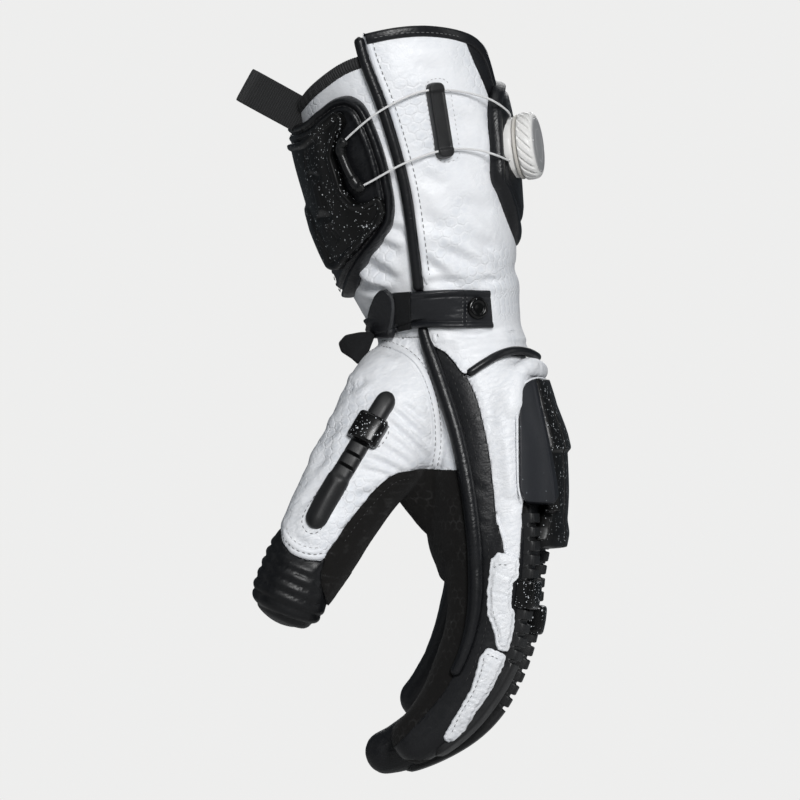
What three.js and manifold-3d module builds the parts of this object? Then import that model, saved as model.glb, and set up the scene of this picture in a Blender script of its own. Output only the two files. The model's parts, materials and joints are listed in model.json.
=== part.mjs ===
// A left-hand motorcycle gauntlet glove of white and black leather: a hollow cuff, hand, thumb and four
// curled fingers, with a lapped cuff flap, a wrist strap, a lace with its dial, a knuckle guard and
// notched rubber spines along the fingers. Millimetres. +Z runs up the forearm to the cuff's mouth,
// +X points out of the back of the hand and -Y is the thumb side. The origin is the middle of the wrist.
import * as THREE from "three";
import { mergeVertices } from "three/addons/utils/BufferGeometryUtils.js";
import Module from "manifold-3d";

const wasm = await Module();
wasm.setup();

// Driving dimensions
const WALL = 2.0; // leather with its lining
const GAP = 0.35; // air between neighbouring pieces
const SEAM = 0.4; // width of the cut between two sewn panels
const FLAP = 2.3; // how far the flap's face stands off the cuff
const PIPING_R = 2.3;
const LACE_R = 0.65;
const STRAP = 1.9; // thickness of the wrist strap
const STRAP_TOP_Z = 9.2;
const STRAP_BOTTOM_Z = -7.4;
const WRIST_SEAM_Z = -10.7; // the cuff is sewn to the hand here
const HUGE = 200; // further than any piece reaches
const BEHIND = 16; // how far a cutter is carried on past the form that it hollows
const BINDING = 4.2; // width of the bound edges
const BINDING_LIFT = 0.9; // how far a binding stands off the leather on both sides
const UNDERLAP = 20; // how far the palm side of the cuff runs on under the flap

const table = (names, rows) =>
  rows.map((row) => Object.fromEntries(names.split(" ").map((name, i) => [name, row[i]])));

// Cross-sections from the cuff's mouth to the knuckles. thick and wide are half sizes, along the
// palm-to-back direction and across the hand; power 2 is an ellipse and more is squarer.
const HAND = table("x y z thick wide power roll", [
  [-23.0, 0, 106.6, 40.2, 48.0, 2.1, 0],
  [-19.9, 0, 92.9, 40.2, 48.0, 2.1, 0],
  [-16.5, 0, 73.0, 41.0, 47.0, 2.1, 0],
  [-11.4, 0, 49.0, 39.0, 45.0, 2.1, 0],
  [-6.1, 0, 26.9, 36.1, 42.0, 2.1, 0],
  [-1.2, 0, 10.2, 32.3, 38.5, 2.1, 0],
  [2.1, 0, -1.2, 28.7, 35.0, 2.1, 0],
  [3.7, 0, -14.1, 28.8, 35.5, 2.15, 0],
  [11.6, 0, -31.2, 27.2, 39.0, 2.3, 0],
  [16.6, 0, -51.7, 24.8, 42.5, 2.5, 0],
  [18.2, 0, -77.1, 25.0, 44.5, 2.6, 0],
  [18.9, 0, -96.8, 23.2, 45.0, 2.6, 0],
  [18.7, 0, -107.8, 19.1, 42.5, 2.5, 0],
]);
const HAND_CAP = 7;

// The thumb, from inside the hand to its tip.
const THUMB = table("x y z thick wide power roll", [
  [-4.1, -14, -13.5, 14, 16, 2.1, 0],
  [-12.5, -21, -31.2, 23, 19, 2.1, 0],
  [-24.6, -30, -52.5, 22.5, 18.5, 2.1, 0],
  [-36.9, -37, -71.8, 20.0, 17.5, 2.1, 0],
  [-48.0, -42, -91.8, 18.0, 16.5, 2.1, 0],
  [-56.2, -45, -106.6, 16.6, 15.5, 2.1, 0],
  [-61.5, -46, -116.0, 15.2, 14.5, 2.1, 0],
]);
const THUMB_CAP = 12;

// The fingers, from inside the hand to the tips. A roll turns the nail side towards the thumb.
const FINGERS = {
  index: {
    rows: table("x y z thick wide power roll", [
      [19.6, -33.5, -79, 17.4, 10.4, 2.3, 22],
      [19.7, -34, -93.5, 18.0, 11.0, 2.3, 21],
      [19.3, -34.5, -107.8, 17.2, 11.2, 2.3, 20],
      [18.4, -34.5, -122.2, 15.8, 11.2, 2.3, 20],
      [15.6, -34.5, -135.7, 15.4, 11.2, 2.3, 20],
      [10.7, -34.5, -148.0, 14.6, 11.0, 2.3, 20],
      [4.1, -34, -159.9, 13.2, 10.8, 2.3, 18],
      [-3.7, -33.5, -169.3, 11.6, 10.6, 2.2, 16],
      [-11.0, -33, -175.3, 10.4, 10.2, 2.1, 14],
    ]),
    cap: 8.5,
  },
  middle: {
    rows: table("x y z thick wide power roll", [
      [20.4, -11, -79, 17.4, 10.4, 2.3, 5],
      [21.3, -11, -93.5, 18.0, 10.8, 2.3, 5],
      [22.1, -11, -107.8, 17.2, 11.0, 2.3, 5],
      [21.8, -10.7, -122.2, 16.5, 11.0, 2.3, 5],
      [19.0, -10.5, -136.0, 16.0, 11.0, 2.3, 5],
      [13.8, -10.3, -149.5, 15.3, 11.0, 2.3, 5],
      [6.9, -10.3, -161.2, 14.3, 10.8, 2.3, 5],
      [-3.3, -10.5, -171.0, 12.0, 10.6, 2.2, 5],
      [-14.6, -11, -177.9, 10.4, 10.4, 2.1, 5],
      [-22.5, -11.5, -180.8, 9.0, 9.6, 2.1, 5],
    ]),
    cap: 8.5,
  },
  ring: {
    rows: table("x y z thick wide power roll", [
      [19.4, 12, -79, 17.2, 10.4, 2.3, -5],
      [19.5, 12, -93.5, 17.6, 10.8, 2.3, -5],
      [18.6, 12, -107.8, 16.8, 11.0, 2.3, -5],
      [15.6, 12, -120.9, 15.0, 11.0, 2.3, -5],
      [11.1, 12, -133.7, 13.8, 10.8, 2.3, -5],
      [4.9, 12, -145.5, 12.4, 10.6, 2.2, -5],
      [-1.6, 12, -154.5, 11.2, 10.2, 2.1, -5],
      [-7.6, 12, -160.4, 9.6, 9.6, 2.1, -5],
    ]),
    cap: 8,
  },
  little: {
    rows: table("x y z thick wide power roll", [
      [18.0, 32.6, -79, 15.6, 9.4, 2.3, -18],
      [18.0, 33, -93.5, 15.5, 9.6, 2.3, -18],
      [16.8, 33.6, -106.6, 14.6, 9.8, 2.3, -18],
      [14.0, 33.8, -118.1, 13.2, 9.8, 2.3, -18],
      [10.2, 33.6, -128.3, 12.0, 9.6, 2.2, -18],
      [6.0, 33.2, -137.4, 10.6, 9.2, 2.1, -16],
      [2.4, 33, -143.6, 9.2, 8.8, 2.1, -14],
    ]),
    cap: 7.5,
  },
};

// Lines drawn on the glove as seen from the thumb side, in x and z.
const FLAP_EDGE = [
  [-33.6, 114], [-30.3, 101.3], [-23.4, 82.8], [-17.2, 62.3], [-13.5, 45.9], [-10.7, 25.4],
  [-8.6, 9], [-6.5, -8], [-2.9, -19.7], [2, -34], [6.6, -48.4], [10.2, -64.8], [12.7, -81.2],
  [14.3, -97.6], [14.8, -114], [13.1, -128.3], [9.4, -140.6], [5.5, -148.5],
];
const FLAP_TOP = [
  [-40, 108], [-33.6, 111.5], [-28.7, 113.2], [-16.4, 115.6], [-4.1, 116.4], [8.2, 115], [15.6, 112],
  [19.7, 106], [23, 95], [26, 85],
];
const CUFF_TOP = [
  [-75, 70], [-63.5, 80.3], [-59, 85.3], [-53.3, 91.5], [-45.1, 97.7], [-38.9, 101.3], [-32, 103.6],
  [-16.4, 106], [15, 107],
];
const GUSSET_EDGE = [[8.4, 118], [10.7, 110.7], [13.9, 103.3], [17.6, 93.1], [20.1, 82], [20.4, 70]];
const KNUCKLE_ARC = [
  [2.4, -16.8], [5.8, -20.6], [10.2, -24.6], [16.4, -20.9], [24.6, -16.4], [32.8, -14.8], [38.9, -16.8],
  [52, -22],
];
const BACK_EDGE = [
  [2.4, -17.6], [6.3, -21.5], [10.2, -26], [14.3, -34], [17.2, -44.3], [19.7, -56.6], [21.3, -68.9],
  [22.5, -81.2], [23.4, -91.4], [24.6, -101.7], [25.2, -120],
];
const THUMB_INNER_EDGE = [
  [12, -65.2], [7, -64.8], [2, -64], [-3.3, -64.8], [-12.3, -66], [-18.4, -68.1], [-23.4, -71.8],
  [-28.7, -77.9], [-34.9, -87.3], [-40.4, -96.6],
];
const THUMB_TIP_EDGE = [
  [-72, -84], [-66.8, -88], [-64.4, -94], [-60.7, -98.4], [-55.3, -101.3], [-49.2, -102.1],
  [-43.9, -100.6], [-39.9, -97.4], [-36, -104], [-30, -112],
];

// The guard over the knuckles, its matt side wall and its glossy outer plate
const GUARD_OUTLINE = [
  [31.6, -73], [31.6, -36.1], [32.8, -30.7], [36.9, -27.1], [43, -25.8], [70, -25.8], [70, -78.3],
  [33.6, -78.3],
];
const GUARD_LINE = [
  [38.5, -20], [41, -34], [45.1, -52.5], [48, -68.9], [49.6, -81.2], [46, -84], [43, -96.4],
];
const GUARD_FLOOR = 3; // thickness of the guard's base under its plate
const GUARD_SKIN = 1.5; // depth of the grooves between the plate's ribs
const GROOVES = { y: [-22.5, 0.5, 23], half: 0.9, topZ: -36 }; // they part the plate into four ribs
const HEEL_Z = -78.6; // the plate overhangs the finger spines below this height
const SPINE_ROOM = 6.2;
const ROLL_LIFT = { back: 9, sides: 3.4 };
const GUARD_TOP_Z = -26.2;
const GUARD_FOOT_Z = -96.8;
const GUARD_RISE = table("row rise", [[7, 5], [8, 8.4], [9, 12.4], [10, 11.4], [11, 10.2], [12, 8]]);
const ROLL_OUTLINE = [
  [23, -19.6], [28, -17.6], [32.8, -17.2], [38.6, -19.4], [56, -24.5], [56, -25.4], [43, -25.4],
  [36.6, -26.7], [32.2, -30.4], [30.9, -37], [29.6, -46], [27.6, -38], [24.6, -27],
];

// The fittings of the cuff: the pad and plate on its palm side, the lace guide and the dial's pad
const CUFF_PAD = [
  [-75, 56], [-75, 78.5], [-58.4, 76.7], [-52.5, 81.6], [-45.1, 86.9], [-38.9, 88.1], [-33.6, 85.7],
  [-30.3, 81.6], [-25.8, 71.3], [-22.1, 60.3], [-19.3, 45.9], [-19.3, 36.9], [-21.3, 32.4], [-30.3, 20.5],
  [-36.1, 9], [-44, 8], [-52, 30],
];
const CUFF_PLATE = [
  [-75, 56], [-75, 68], [-58.6, 69.5], [-48.4, 77.5], [-43.9, 81.6], [-41, 80.4], [-39.4, 76.7],
  [-42.6, 71], [-44.6, 63.5], [-40.2, 49.2], [-35.7, 44.3], [-32, 43.9], [-27.1, 46.7], [-24.2, 45.9],
  [-22.5, 40.2], [-25, 35.3], [-38.9, 20.5], [-42.6, 16.4], [-47, 18], [-58, 40],
];
const DIAL_PAD = [
  [24.6, 95.9], [21.7, 91], [20.1, 82.8], [20.9, 64.4], [21.7, 54.1], [24.6, 48], [28.7, 37.7], [33.2, 28.3],
];
const DIAL_PAD_RISE = table("row rise", [[3, FLAP + 5], [4.5, 1]]); // its height over the cuff, by row of HAND
const LACE_GUIDE = { top: [-1.6, 93.5], foot: [3.3, 62.3], width: 7.3, height: 4 };
const PAD_HEIGHT = 4.2;
const PLATE_HEIGHT = 6.6;

// The lace, from the dial's upper port through the guide and the hook and back to its lower port.
// lift is its height over the cuff; near the dial a depth is given in y instead.
const LACE = table("x z lift y", [
  [28.2, 77.9, 0, -17.8], [28.2, 81.5, 0, -22.8], [21.5, 86.2, 0, -33], [12.3, 89, 7.6, 0],
  [1, 90.2, 5.6, 0], [-10.2, 88.6, 5.2, 0], [-25.4, 80.8, 6.8, 0], [-36, 72, 7.8, 0], [-40.4, 66.6, 8, 0],
  [-40.2, 61.6, 8, 0], [-36.6, 54.6, 8, 0], [-32.8, 51, 7.8, 0], [-29, 51.6, 7.6, 0], [-14.3, 60.3, 6.2, 0],
  [1.4, 65.6, 5.6, 0], [14.3, 66, 7.8, 0], [22.5, 64, 0, -36.5], [27.4, 62.2, 0, -28.6], [28.6, 62, 0, -25.2],
]);
const HOOK_SPAN = [0.385, 0.59]; // the stretch of the lace that runs inside the hook
const HOOK_R = 2.5;
const LACE_STEPS = 32;
const TUNNEL_R = 1.05;

const DIAL = {
  centre: new THREE.Vector3(27.6, -14, 67.1),
  axis: new THREE.Vector3(0.972, -0.2, 0.121).normalize(),
  baseR: 12.9, baseHeight: 4.4, flangeR: 13.3, flangeHeight: 1.2,
  knobR: 13.9, knobHeight: 6.8, capR: 11.2, capHeight: 0.9, boreR: 5.4, spindleR: 5.0, knurls: 11,
};
const STRAP_UPPER = [[-70, 1.5], [-30.7, 4.9], [-12.3, 7.9], [4, 9], [20.6, 8.8]];
const STRAP_LOWER = [[22, -6.8], [4, -7], [-10.2, -6.8], [-30.7, -9.6], [-70, -12]];
const STRAP_TAB = [
  [-45, -10.5], [-45, 2.2], [-30.3, 3.4], [-26.6, 7.4], [-21.3, 9], [-18.9, 4.9], [-19.3, -3.3],
  [-21.3, -10.6], [-29.5, -11],
];
const STRAP_END = [
  [-27.9, -11.8], [-32.8, -9], [-38.9, -9.8], [-41.8, -12.7], [-40.6, -16.4], [-36.1, -19.3],
  [-33.6, -21.7], [-29, -16.6],
];
const SNAP = { x: 15.2, z: 1.4, r: 4.6, height: 1.7 };
const LOOP = { root: [-50.5, 77.2], end: [-80.4, 93.6], width: 14.6, cloth: 1.5, belly: 5.4, y: -14 };
const STRIP_ONE = [
  [22.5, -98.8], [31.6, -100.4], [29.1, -111.9], [29.5, -120.1], [30.3, -124.2], [29.1, -130.4],
  [27.9, -138.6], [23, -136.3], [22.1, -130.4], [19.6, -120.1], [19.4, -111.9], [20.5, -101.7],
];
const STRIP_TWO = [
  [19.7, -137.1], [26.6, -140.6], [25.8, -144.7], [20.5, -155], [14.3, -163.2], [11.5, -173.4], [6, -177.6],
  [1.9, -174.7], [6.1, -165.2], [12.3, -155], [15.6, -144.7], [16.4, -140.6],
];
const SPINE = {
  width: 9.6, strip: 2.0, tooth: 3.9, toothLength: 4.1, slot: 1.5, lead: 0.6, tip: 1.2,
  narrower: 0.8, sink: 0.2, // the teeth are narrower than their strip and sink into it
};
const CLIP = { length: 11.5, side: 1.6, roof: 1.4 };
const THUMB_CLIP_AT = 14; // millimetres along the thumb's spine
const THUMB_TEETH = 6;
const SPINES = table("finger from to teeth clip", [
  ["index", 0.2, 7.6, 15, 2.9],
  ["middle", 0.2, 8.3, 15, 3.5],
  ["ring", 0.2, 6.6, 10, 2.9],
  ["little", 0.2, 5.6, 7, 2.6],
]);
const THUMB_SPINE = [[-20.6, -32.4], [-26.6, -42.6], [-36.9, -60.7], [-45.1, -75], [-51.2, -87.3]];

// three.js and manifold-3d meet here
const solidOf = (geometry) => {
  const g = geometry.clone();
  for (const name of Object.keys(g.attributes)) if (name !== "position") g.deleteAttribute(name);
  const merged = mergeVertices(g, 1e-4);
  return new wasm.Manifold(
    new wasm.Mesh({
      numProp: 3,
      vertProperties: new Float32Array(merged.attributes.position.array),
      triVerts: new Uint32Array(merged.index.array),
    }),
  );
};
const geometryOf = (solid) => {
  const mesh = solid.getMesh();
  const g = new THREE.BufferGeometry();
  g.setAttribute("position", new THREE.BufferAttribute(new Float32Array(mesh.vertProperties), 3));
  g.setIndex(new THREE.BufferAttribute(new Uint32Array(mesh.triVerts), 1));
  const flat = g.toNonIndexed();
  flat.computeVertexNormals();
  return flat;
};
const union = (solids) => solids.reduce((a, b) => a.add(b));
const without = (solid, cutters) => cutters.reduce((a, b) => a.subtract(b), solid);
// The biggest body of a cut solid: slivers left beside a seam fall away.
const largest = (solid) => solid.decompose().reduce((a, b) => (b.volume() > a.volume() ? b : a));

// A Catmull-Rom curve through one column of a table, at row number v.
const column = (rows, name, v) => {
  const last = rows.length - 1;
  const i = Math.min(Math.max(Math.floor(v), 0), last - 1);
  const t = v - i;
  const at = (k) => rows[Math.min(Math.max(k, 0), last)][name];
  const [a, b, c, d] = [at(i - 1), at(i), at(i + 1), at(i + 2)];
  const [m, n] = [i === 0 ? c - b : (c - a) / 2, i === last - 1 ? c - b : (d - b) / 2];
  return (
    (2 * t ** 3 - 3 * t ** 2 + 1) * b + (t ** 3 - 2 * t ** 2 + t) * m +
    (3 * t ** 2 - 2 * t ** 3) * c + (t ** 3 - t ** 2) * n
  );
};
// Straight lines between the rows of a table, at a value of its first column.
const between = (rows, key, name, x) => {
  const i = Math.min(Math.max(rows.findIndex((row) => row[key] > x), 1), rows.length - 1);
  const t = (x - rows[i - 1][key]) / (rows[i][key] - rows[i - 1][key]);
  return THREE.MathUtils.lerp(rows[i - 1][name], rows[i][name], THREE.MathUtils.clamp(t, 0, 1));
};
// Centre, direction along, direction to the back and direction to the thumb side, at row number v.
const sectionAt = (rows, v) => {
  const point = (u) => new THREE.Vector3(...["x", "y", "z"].map((name) => column(rows, name, u)));
  const step = 0.02;
  const last = rows.length - 1;
  const along = point(Math.min(v + step, last)).sub(point(Math.max(v - step, 0)));
  const flat = new THREE.Vector3(along.x, 0, along.z).normalize();
  const back = new THREE.Vector3(-flat.z, 0, flat.x);
  const side = new THREE.Vector3(0, -1, 0);
  const roll = THREE.MathUtils.degToRad(column(rows, "roll", v));
  return {
    centre: point(v),
    along: flat,
    back: back.clone().multiplyScalar(Math.cos(roll)).addScaledVector(side, Math.sin(roll)),
    side: side.clone().multiplyScalar(Math.cos(roll)).addScaledVector(back, -Math.sin(roll)),
    thick: column(rows, "thick", v),
    wide: column(rows, "wide", v),
    power: column(rows, "power", v),
  };
};
// A point at an angle round a section: 0 is the back, 90 degrees the thumb side, 180 the palm.
const pointAt = (s, angle, [thick, wide], shrink = 1, push = 0) => {
  const bend = (x) => Math.sign(x) * Math.abs(x) ** (2 / s.power);
  return s.centre
    .clone()
    .addScaledVector(s.back, (s.thick + thick) * shrink * bend(Math.cos(angle)))
    .addScaledVector(s.side, (s.wide + wide) * shrink * bend(Math.sin(angle)))
    .addScaledVector(s.along, push);
};
// A closed body through rings of equally many points, with its faces turned outwards.
const loft = (rings) => {
  const n = rings[0].length;
  const points = rings.flat();
  const faces = [];
  for (let i = 0; i + 1 < rings.length; i++)
    for (let j = 0; j < n; j++) {
      const [a, b] = [i * n + j, i * n + ((j + 1) % n)];
      faces.push(a, b, a + n, b, b + n, a + n);
    }
  const last = (rings.length - 1) * n;
  for (let j = 1; j + 1 < n; j++) faces.push(0, j + 1, j, last, last + j, last + j + 1);
  const g = new THREE.BufferGeometry().setFromPoints(points);
  g.setIndex(faces);
  const solid = solidOf(g);
  return solid.volume() < 0 ? loft(rings.map((ring) => [...ring].reverse())) : solid;
};
// A tube through a table's sections with a rounded end. lift is how far it stands off the sections: a
// number, or a function of row and angle that gives its parts along the thickness and the width.
const tube = (rows, cap, { lift = 0, sides = 20, steps = 1, push = 0 } = {}) => {
  const last = rows.length - 1;
  const liftAt = typeof lift === "function" ? lift : () => [lift, lift];
  const angles = Array.from({ length: sides }, (_, j) => (2 * Math.PI * j) / sides);
  const ring = (v, shrink = 1, along = 0) => {
    const s = sectionAt(rows, v);
    return angles.map((a) => pointAt(s, a, liftAt(v, a), shrink, along));
  };
  const count = Math.round(last * steps);
  const rings = Array.from({ length: count + 1 }, (_, i) => ring((last * i) / count));
  if (push) rings.unshift(ring(0, 1, -push));
  for (const degrees of [38, 72]) {
    const a = THREE.MathUtils.degToRad(degrees);
    rings.push(ring(last, Math.cos(a), (cap + liftAt(last, 0)[0]) * Math.sin(a)));
  }
  return loft(rings);
};

// Flat outlines in x and z, and prisms that run across the hand
const spline = (points, count) => {
  const curve = new THREE.SplineCurve(points.map((p) => new THREE.Vector2(...p)));
  return curve.getSpacedPoints(count).map((p) => [p.x, p.y]);
};
const shifted = (points, distance) =>
  points.map((p, i) => {
    const [a, b] = [points[Math.max(i - 1, 0)], points[Math.min(i + 1, points.length - 1)]];
    const normal = new THREE.Vector2(-(b[1] - a[1]), b[0] - a[0]).normalize();
    return [p[0] + normal.x * distance, p[1] + normal.y * distance];
  });
const prism = (outline, yLow = -HUGE, yHigh = HUGE) => {
  const shape = new THREE.Shape(outline.map((p) => new THREE.Vector2(...p)));
  const g = new THREE.ExtrudeGeometry(shape, { depth: yHigh - yLow, bevelEnabled: false });
  g.rotateX(Math.PI / 2);
  g.translate(0, yHigh, 0);
  return solidOf(g);
};
const block = (xLow, xHigh, yLow, yHigh, zLow, zHigh) =>
  prism([[xLow, zLow], [xHigh, zLow], [xHigh, zHigh], [xLow, zHigh]], yLow, yHigh);
const ribbon = (line, width, yLow, yHigh) =>
  prism([...shifted(line, width / 2), ...shifted(line, -width / 2).reverse()], yLow, yHigh);
const rightOf = (line) => prism([...line, [HUGE, line.at(-1)[1]], [HUGE, line[0][1]]]);
const below = (line) => prism([...line, [line.at(-1)[0], -HUGE], [line[0][0], -HUGE]]);
const above = (z) => block(-HUGE, HUGE, -HUGE, HUGE, z, HUGE);
const nearSide = block(-HUGE, HUGE, -HUGE, 0, -HUGE, HUGE);

// The hollow forms of leather
const HAND_SIDES = 12;
const MOUTH = 14; // how far the drawn sections are carried on past the first row
const hand = (lift, more = {}) =>
  tube(HAND, HAND_CAP, { lift, sides: HAND_SIDES, steps: 2 / 3, push: MOUTH, ...more });
const thumb = (lift, more = {}) => tube(THUMB, THUMB_CAP, { lift, sides: 10, ...more });
const finger = (name, lift) => tube(FINGERS[name].rows, FINGERS[name].cap, { lift, sides: 8, steps: 0.65 });
const fingerNames = Object.keys(FINGERS);
const skin = (lift) => union([hand(lift), thumb(lift), ...fingerNames.map((name) => finger(name, lift))]);

const WHITE_LEATHER = { color: 0xe8eaec, roughness: 0.55 };
const BLACK_LEATHER = { color: 0x17181a, roughness: 0.5 };
const SUEDE = { color: 0x141516, roughness: 0.85 };
const RUBBER = { color: 0x232529, roughness: 0.6 };
const GLOSS = { color: 0x0c0d0f, roughness: 0.2 };
const WHITE_PLASTIC = { color: 0xf2f2f0, roughness: 0.35 };
const GREY_METAL = { color: 0x8d9094, roughness: 0.35, metalness: 0.6 };

const group = new THREE.Group();
const add = (name, solid, finish, parent = group) => {
  const mesh = new THREE.Mesh(geometryOf(largest(solid)), new THREE.MeshStandardMaterial(finish));
  mesh.name = name;
  parent.add(mesh);
};

const clearHand = hand(GAP);
const clearSkin = skin(GAP);
const handWall = without(hand(0), [
  hand(-WALL, { push: MOUTH + BEHIND }),
  thumb(-WALL),
  ...fingerNames.map((name) => finger(name, -WALL)),
]);

// The cuff: a palm side that runs on under the flap, the flap itself, its gusset and their bindings
const edge = spline(FLAP_EDGE, 10);
const edgeCut = ribbon(edge, SEAM);
const cuffTop = spline(CUFF_TOP, 8);
const bandUnder = (line, width) => ribbon(shifted(line, -BINDING / 2), width);
const underFlap = rightOf(shifted(spline(FLAP_EDGE.slice(0, 8), 6), UNDERLAP));
const cuffSeam = above(WRIST_SEAM_Z + SEAM / 2);
add(
  "cuff_palm_side",
  without(handWall.intersect(cuffSeam).intersect(below(cuffTop)), [
    underFlap,
    bandUnder(cuffTop, BINDING + 2 * GAP),
  ]),
  WHITE_LEATHER,
);
const bandWall = hand(BINDING_LIFT).subtract(hand(-WALL - 0.7, { push: MOUTH + BEHIND }));
const flapSpace = hand(FLAP + 2 * GAP).subtract(hand(-GAP)).intersect(rightOf(edge));
const cuffBand = without(bandWall.intersect(bandUnder(cuffTop, BINDING)), [underFlap, flapSpace]);

const flapTop = spline(FLAP_TOP, 9);
const arc = spline(KNUCKLE_ARC, 8);
const flapLeft = shifted(edge.filter(([, z]) => z < 113 && z > -15), PIPING_R + GAP);
const flapTopBack = [...flapTop].reverse().filter(([x]) => x > -30);
const flapRegion = prism([...flapLeft, ...arc, [HUGE, -22], [HUGE, 85], ...flapTopBack]);
const flapWall = hand(FLAP).subtract(clearHand).intersect(flapRegion);
const flapSheet = flapWall.subtract(bandUnder(flapTop, BINDING + 2 * GAP));
const gussetLine = spline(GUSSET_EDGE, 5);
const GUSSET_FOOT_Z = 79;
const gussetRegion = rightOf(gussetLine).intersect(above(GUSSET_FOOT_Z));
const gussetFoot = block(17, HUGE, -HUGE, HUGE, GUSSET_FOOT_Z - SEAM / 2, GUSSET_FOOT_Z + SEAM / 2);
const gussetCuts = [ribbon(gussetLine, SEAM), gussetFoot];
add("cuff_flap", without(flapSheet, [gussetRegion, ...gussetCuts]), WHITE_LEATHER);
add("flap_gusset", without(flapSheet.intersect(gussetRegion), gussetCuts), BLACK_LEATHER);
const bandRoom = hand(FLAP + BINDING_LIFT + GAP).intersect(bandUnder(flapTop, BINDING + 2 * GAP));
const flapBand = hand(FLAP + BINDING_LIFT).subtract(clearHand).intersect(bandUnder(flapTop, BINDING));
add("flap_binding", flapBand.intersect(flapRegion), BLACK_LEATHER);

// The hand: white back and thumb root, black sides and palm, sewn edge to edge
const backEdge = spline(BACK_EDGE, 6);
const backCut = ribbon(backEdge, SEAM);
const belowWrist = handWall.subtract(above(WRIST_SEAM_Z - SEAM / 2));
const innerEdge = spline(THUMB_INNER_EDGE, 6);
const thenarOutline = [...innerEdge, [-60, -96], [-60, 0], [HUGE, 0], [HUGE, -65.2]];
const THENAR_Y = -10; // the white of the thumb's root ends here in the palm
const thenar = prism(thenarOutline, -HUGE, THENAR_Y);
const thenarAndSeam = prism(thenarOutline.map(([x, z]) => [x, z - SEAM]), -HUGE, THENAR_Y + SEAM);
const backPart = belowWrist.intersect(rightOf(edge));
const palmPart = without(belowWrist, [rightOf(edge), edgeCut]);
const sidePart = without(backPart, [edgeCut, rightOf(backEdge), backCut]);
add("back_panel", backPart.intersect(rightOf(backEdge)).subtract(backCut), WHITE_LEATHER);
add("thumb_side_panel", sidePart.intersect(nearSide), BLACK_LEATHER);
add("outer_side_panel", sidePart.subtract(nearSide), BLACK_LEATHER);
add("thenar_panel", palmPart.intersect(thenar), WHITE_LEATHER);
add("palm_panel", without(palmPart, [thenarAndSeam, thenar]), SUEDE);

// The thumb: a white back, a black inner side and a ribbed black tip
const thumbHollow = [thumb(-WALL), clearHand];
const tipEdge = spline(THUMB_TIP_EDGE, 7);
const tipRegion = prism([...tipEdge, [-30, -HUGE], [-HUGE, -HUGE], [-HUGE, -84]]);
const innerRegion = prism([...innerEdge, [-40.4, -HUGE], [HUGE, -HUGE], [HUGE, -65.2]]);
const thumbWall = without(thumb(0), [...thumbHollow, tipRegion, ribbon(tipEdge, SEAM)]);
const innerCut = ribbon(innerEdge, SEAM);
add("thumb_back", without(thumbWall, [innerRegion, innerCut]), WHITE_LEATHER);
add("thumb_inner", thumbWall.intersect(innerRegion).subtract(innerCut), SUEDE);
const RIB = { fromRow: 4.3, pitch: 0.5, height: 1.2 };
const ribLift = (v) => (v > RIB.fromRow ? RIB.height * Math.cos((Math.PI * v) / RIB.pitch) ** 2 : 0);
const thumbRibbed = thumb((v) => [ribLift(v), ribLift(v)], { steps: 4 });
const thumbTip = without(thumbRibbed, [...thumbHollow, ribbon(tipEdge, SEAM)]);
add("thumb_tip", thumbTip.intersect(tipRegion), BLACK_LEATHER);

// The fingers: one hollow black sheath each, kept off its neighbours
fingerNames.forEach((name, i) => {
  const neighbours = fingerNames.slice(0, i).map((other) => finger(other, GAP));
  const sheath = without(finger(name, 0), [finger(name, -WALL), clearHand, ...neighbours]);
  add(name + "_finger", sheath, BLACK_LEATHER);
});

// Points found on a surface by a straight line that comes from outside
const raycaster = new THREE.Raycaster();
const meet = (mesh, from, direction) => {
  raycaster.set(from, direction.clone().normalize());
  return raycaster.intersectObject(mesh)[0].point;
};
const inward = new THREE.Vector3(0, 1, 0);
const onThumbSide = (mesh, x, z) => meet(mesh, new THREE.Vector3(x, -HUGE, z), inward);
const surfaceOf = (solid) => new THREE.Mesh(geometryOf(solid));
const rod = (points, radius, sides, steps) => {
  const corner = (_, i) => {
    const angle = (2 * Math.PI * i) / sides;
    return new THREE.Vector2(radius * Math.cos(angle), radius * Math.sin(angle));
  };
  const section = new THREE.Shape(Array.from({ length: sides }, corner));
  const path = points instanceof THREE.Curve ? points : new THREE.CatmullRomCurve3(points);
  return solidOf(new THREE.ExtrudeGeometry(section, { steps, extrudePath: path, bevelEnabled: false }));
};

// Piping: round beads laid along the seams, flat where they meet the leather
const skinSurface = surfaceOf(skin(0));
const onSkin = (x, z, lift) => onThumbSide(skinSurface, x, z).add(new THREE.Vector3(0, -lift, 0));
const bead = (line, lift, steps, more = 0) =>
  rod(line.map(([x, z]) => onSkin(x, z, lift)), PIPING_R + more, 5, steps);
const PIPING_LIFT = 1.2; // how far the middle of a bead lies off the leather
const SIDE_PIPING_LIFT = 0.6;
const cuffPiping = bead(edge, PIPING_LIFT, 12);
add("cuff_binding", cuffBand.subtract(bead(edge, PIPING_LIFT, 12, GAP)), BLACK_LEATHER);
const pipingClear = clearSkin.add(flapRegion.intersect(hand(FLAP + GAP)));
add("flap_piping", cuffPiping.subtract(pipingClear).intersect(above(STRAP_TOP_Z + SEAM)), BLACK_LEATHER);
const sideLine = spline(FLAP_EDGE.slice(6), 9);
const sideBead = bead(sideLine, SIDE_PIPING_LIFT, 9);
add("side_piping", without(sideBead, [pipingClear, above(STRAP_BOTTOM_Z - 1)]), BLACK_LEATHER);
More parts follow.
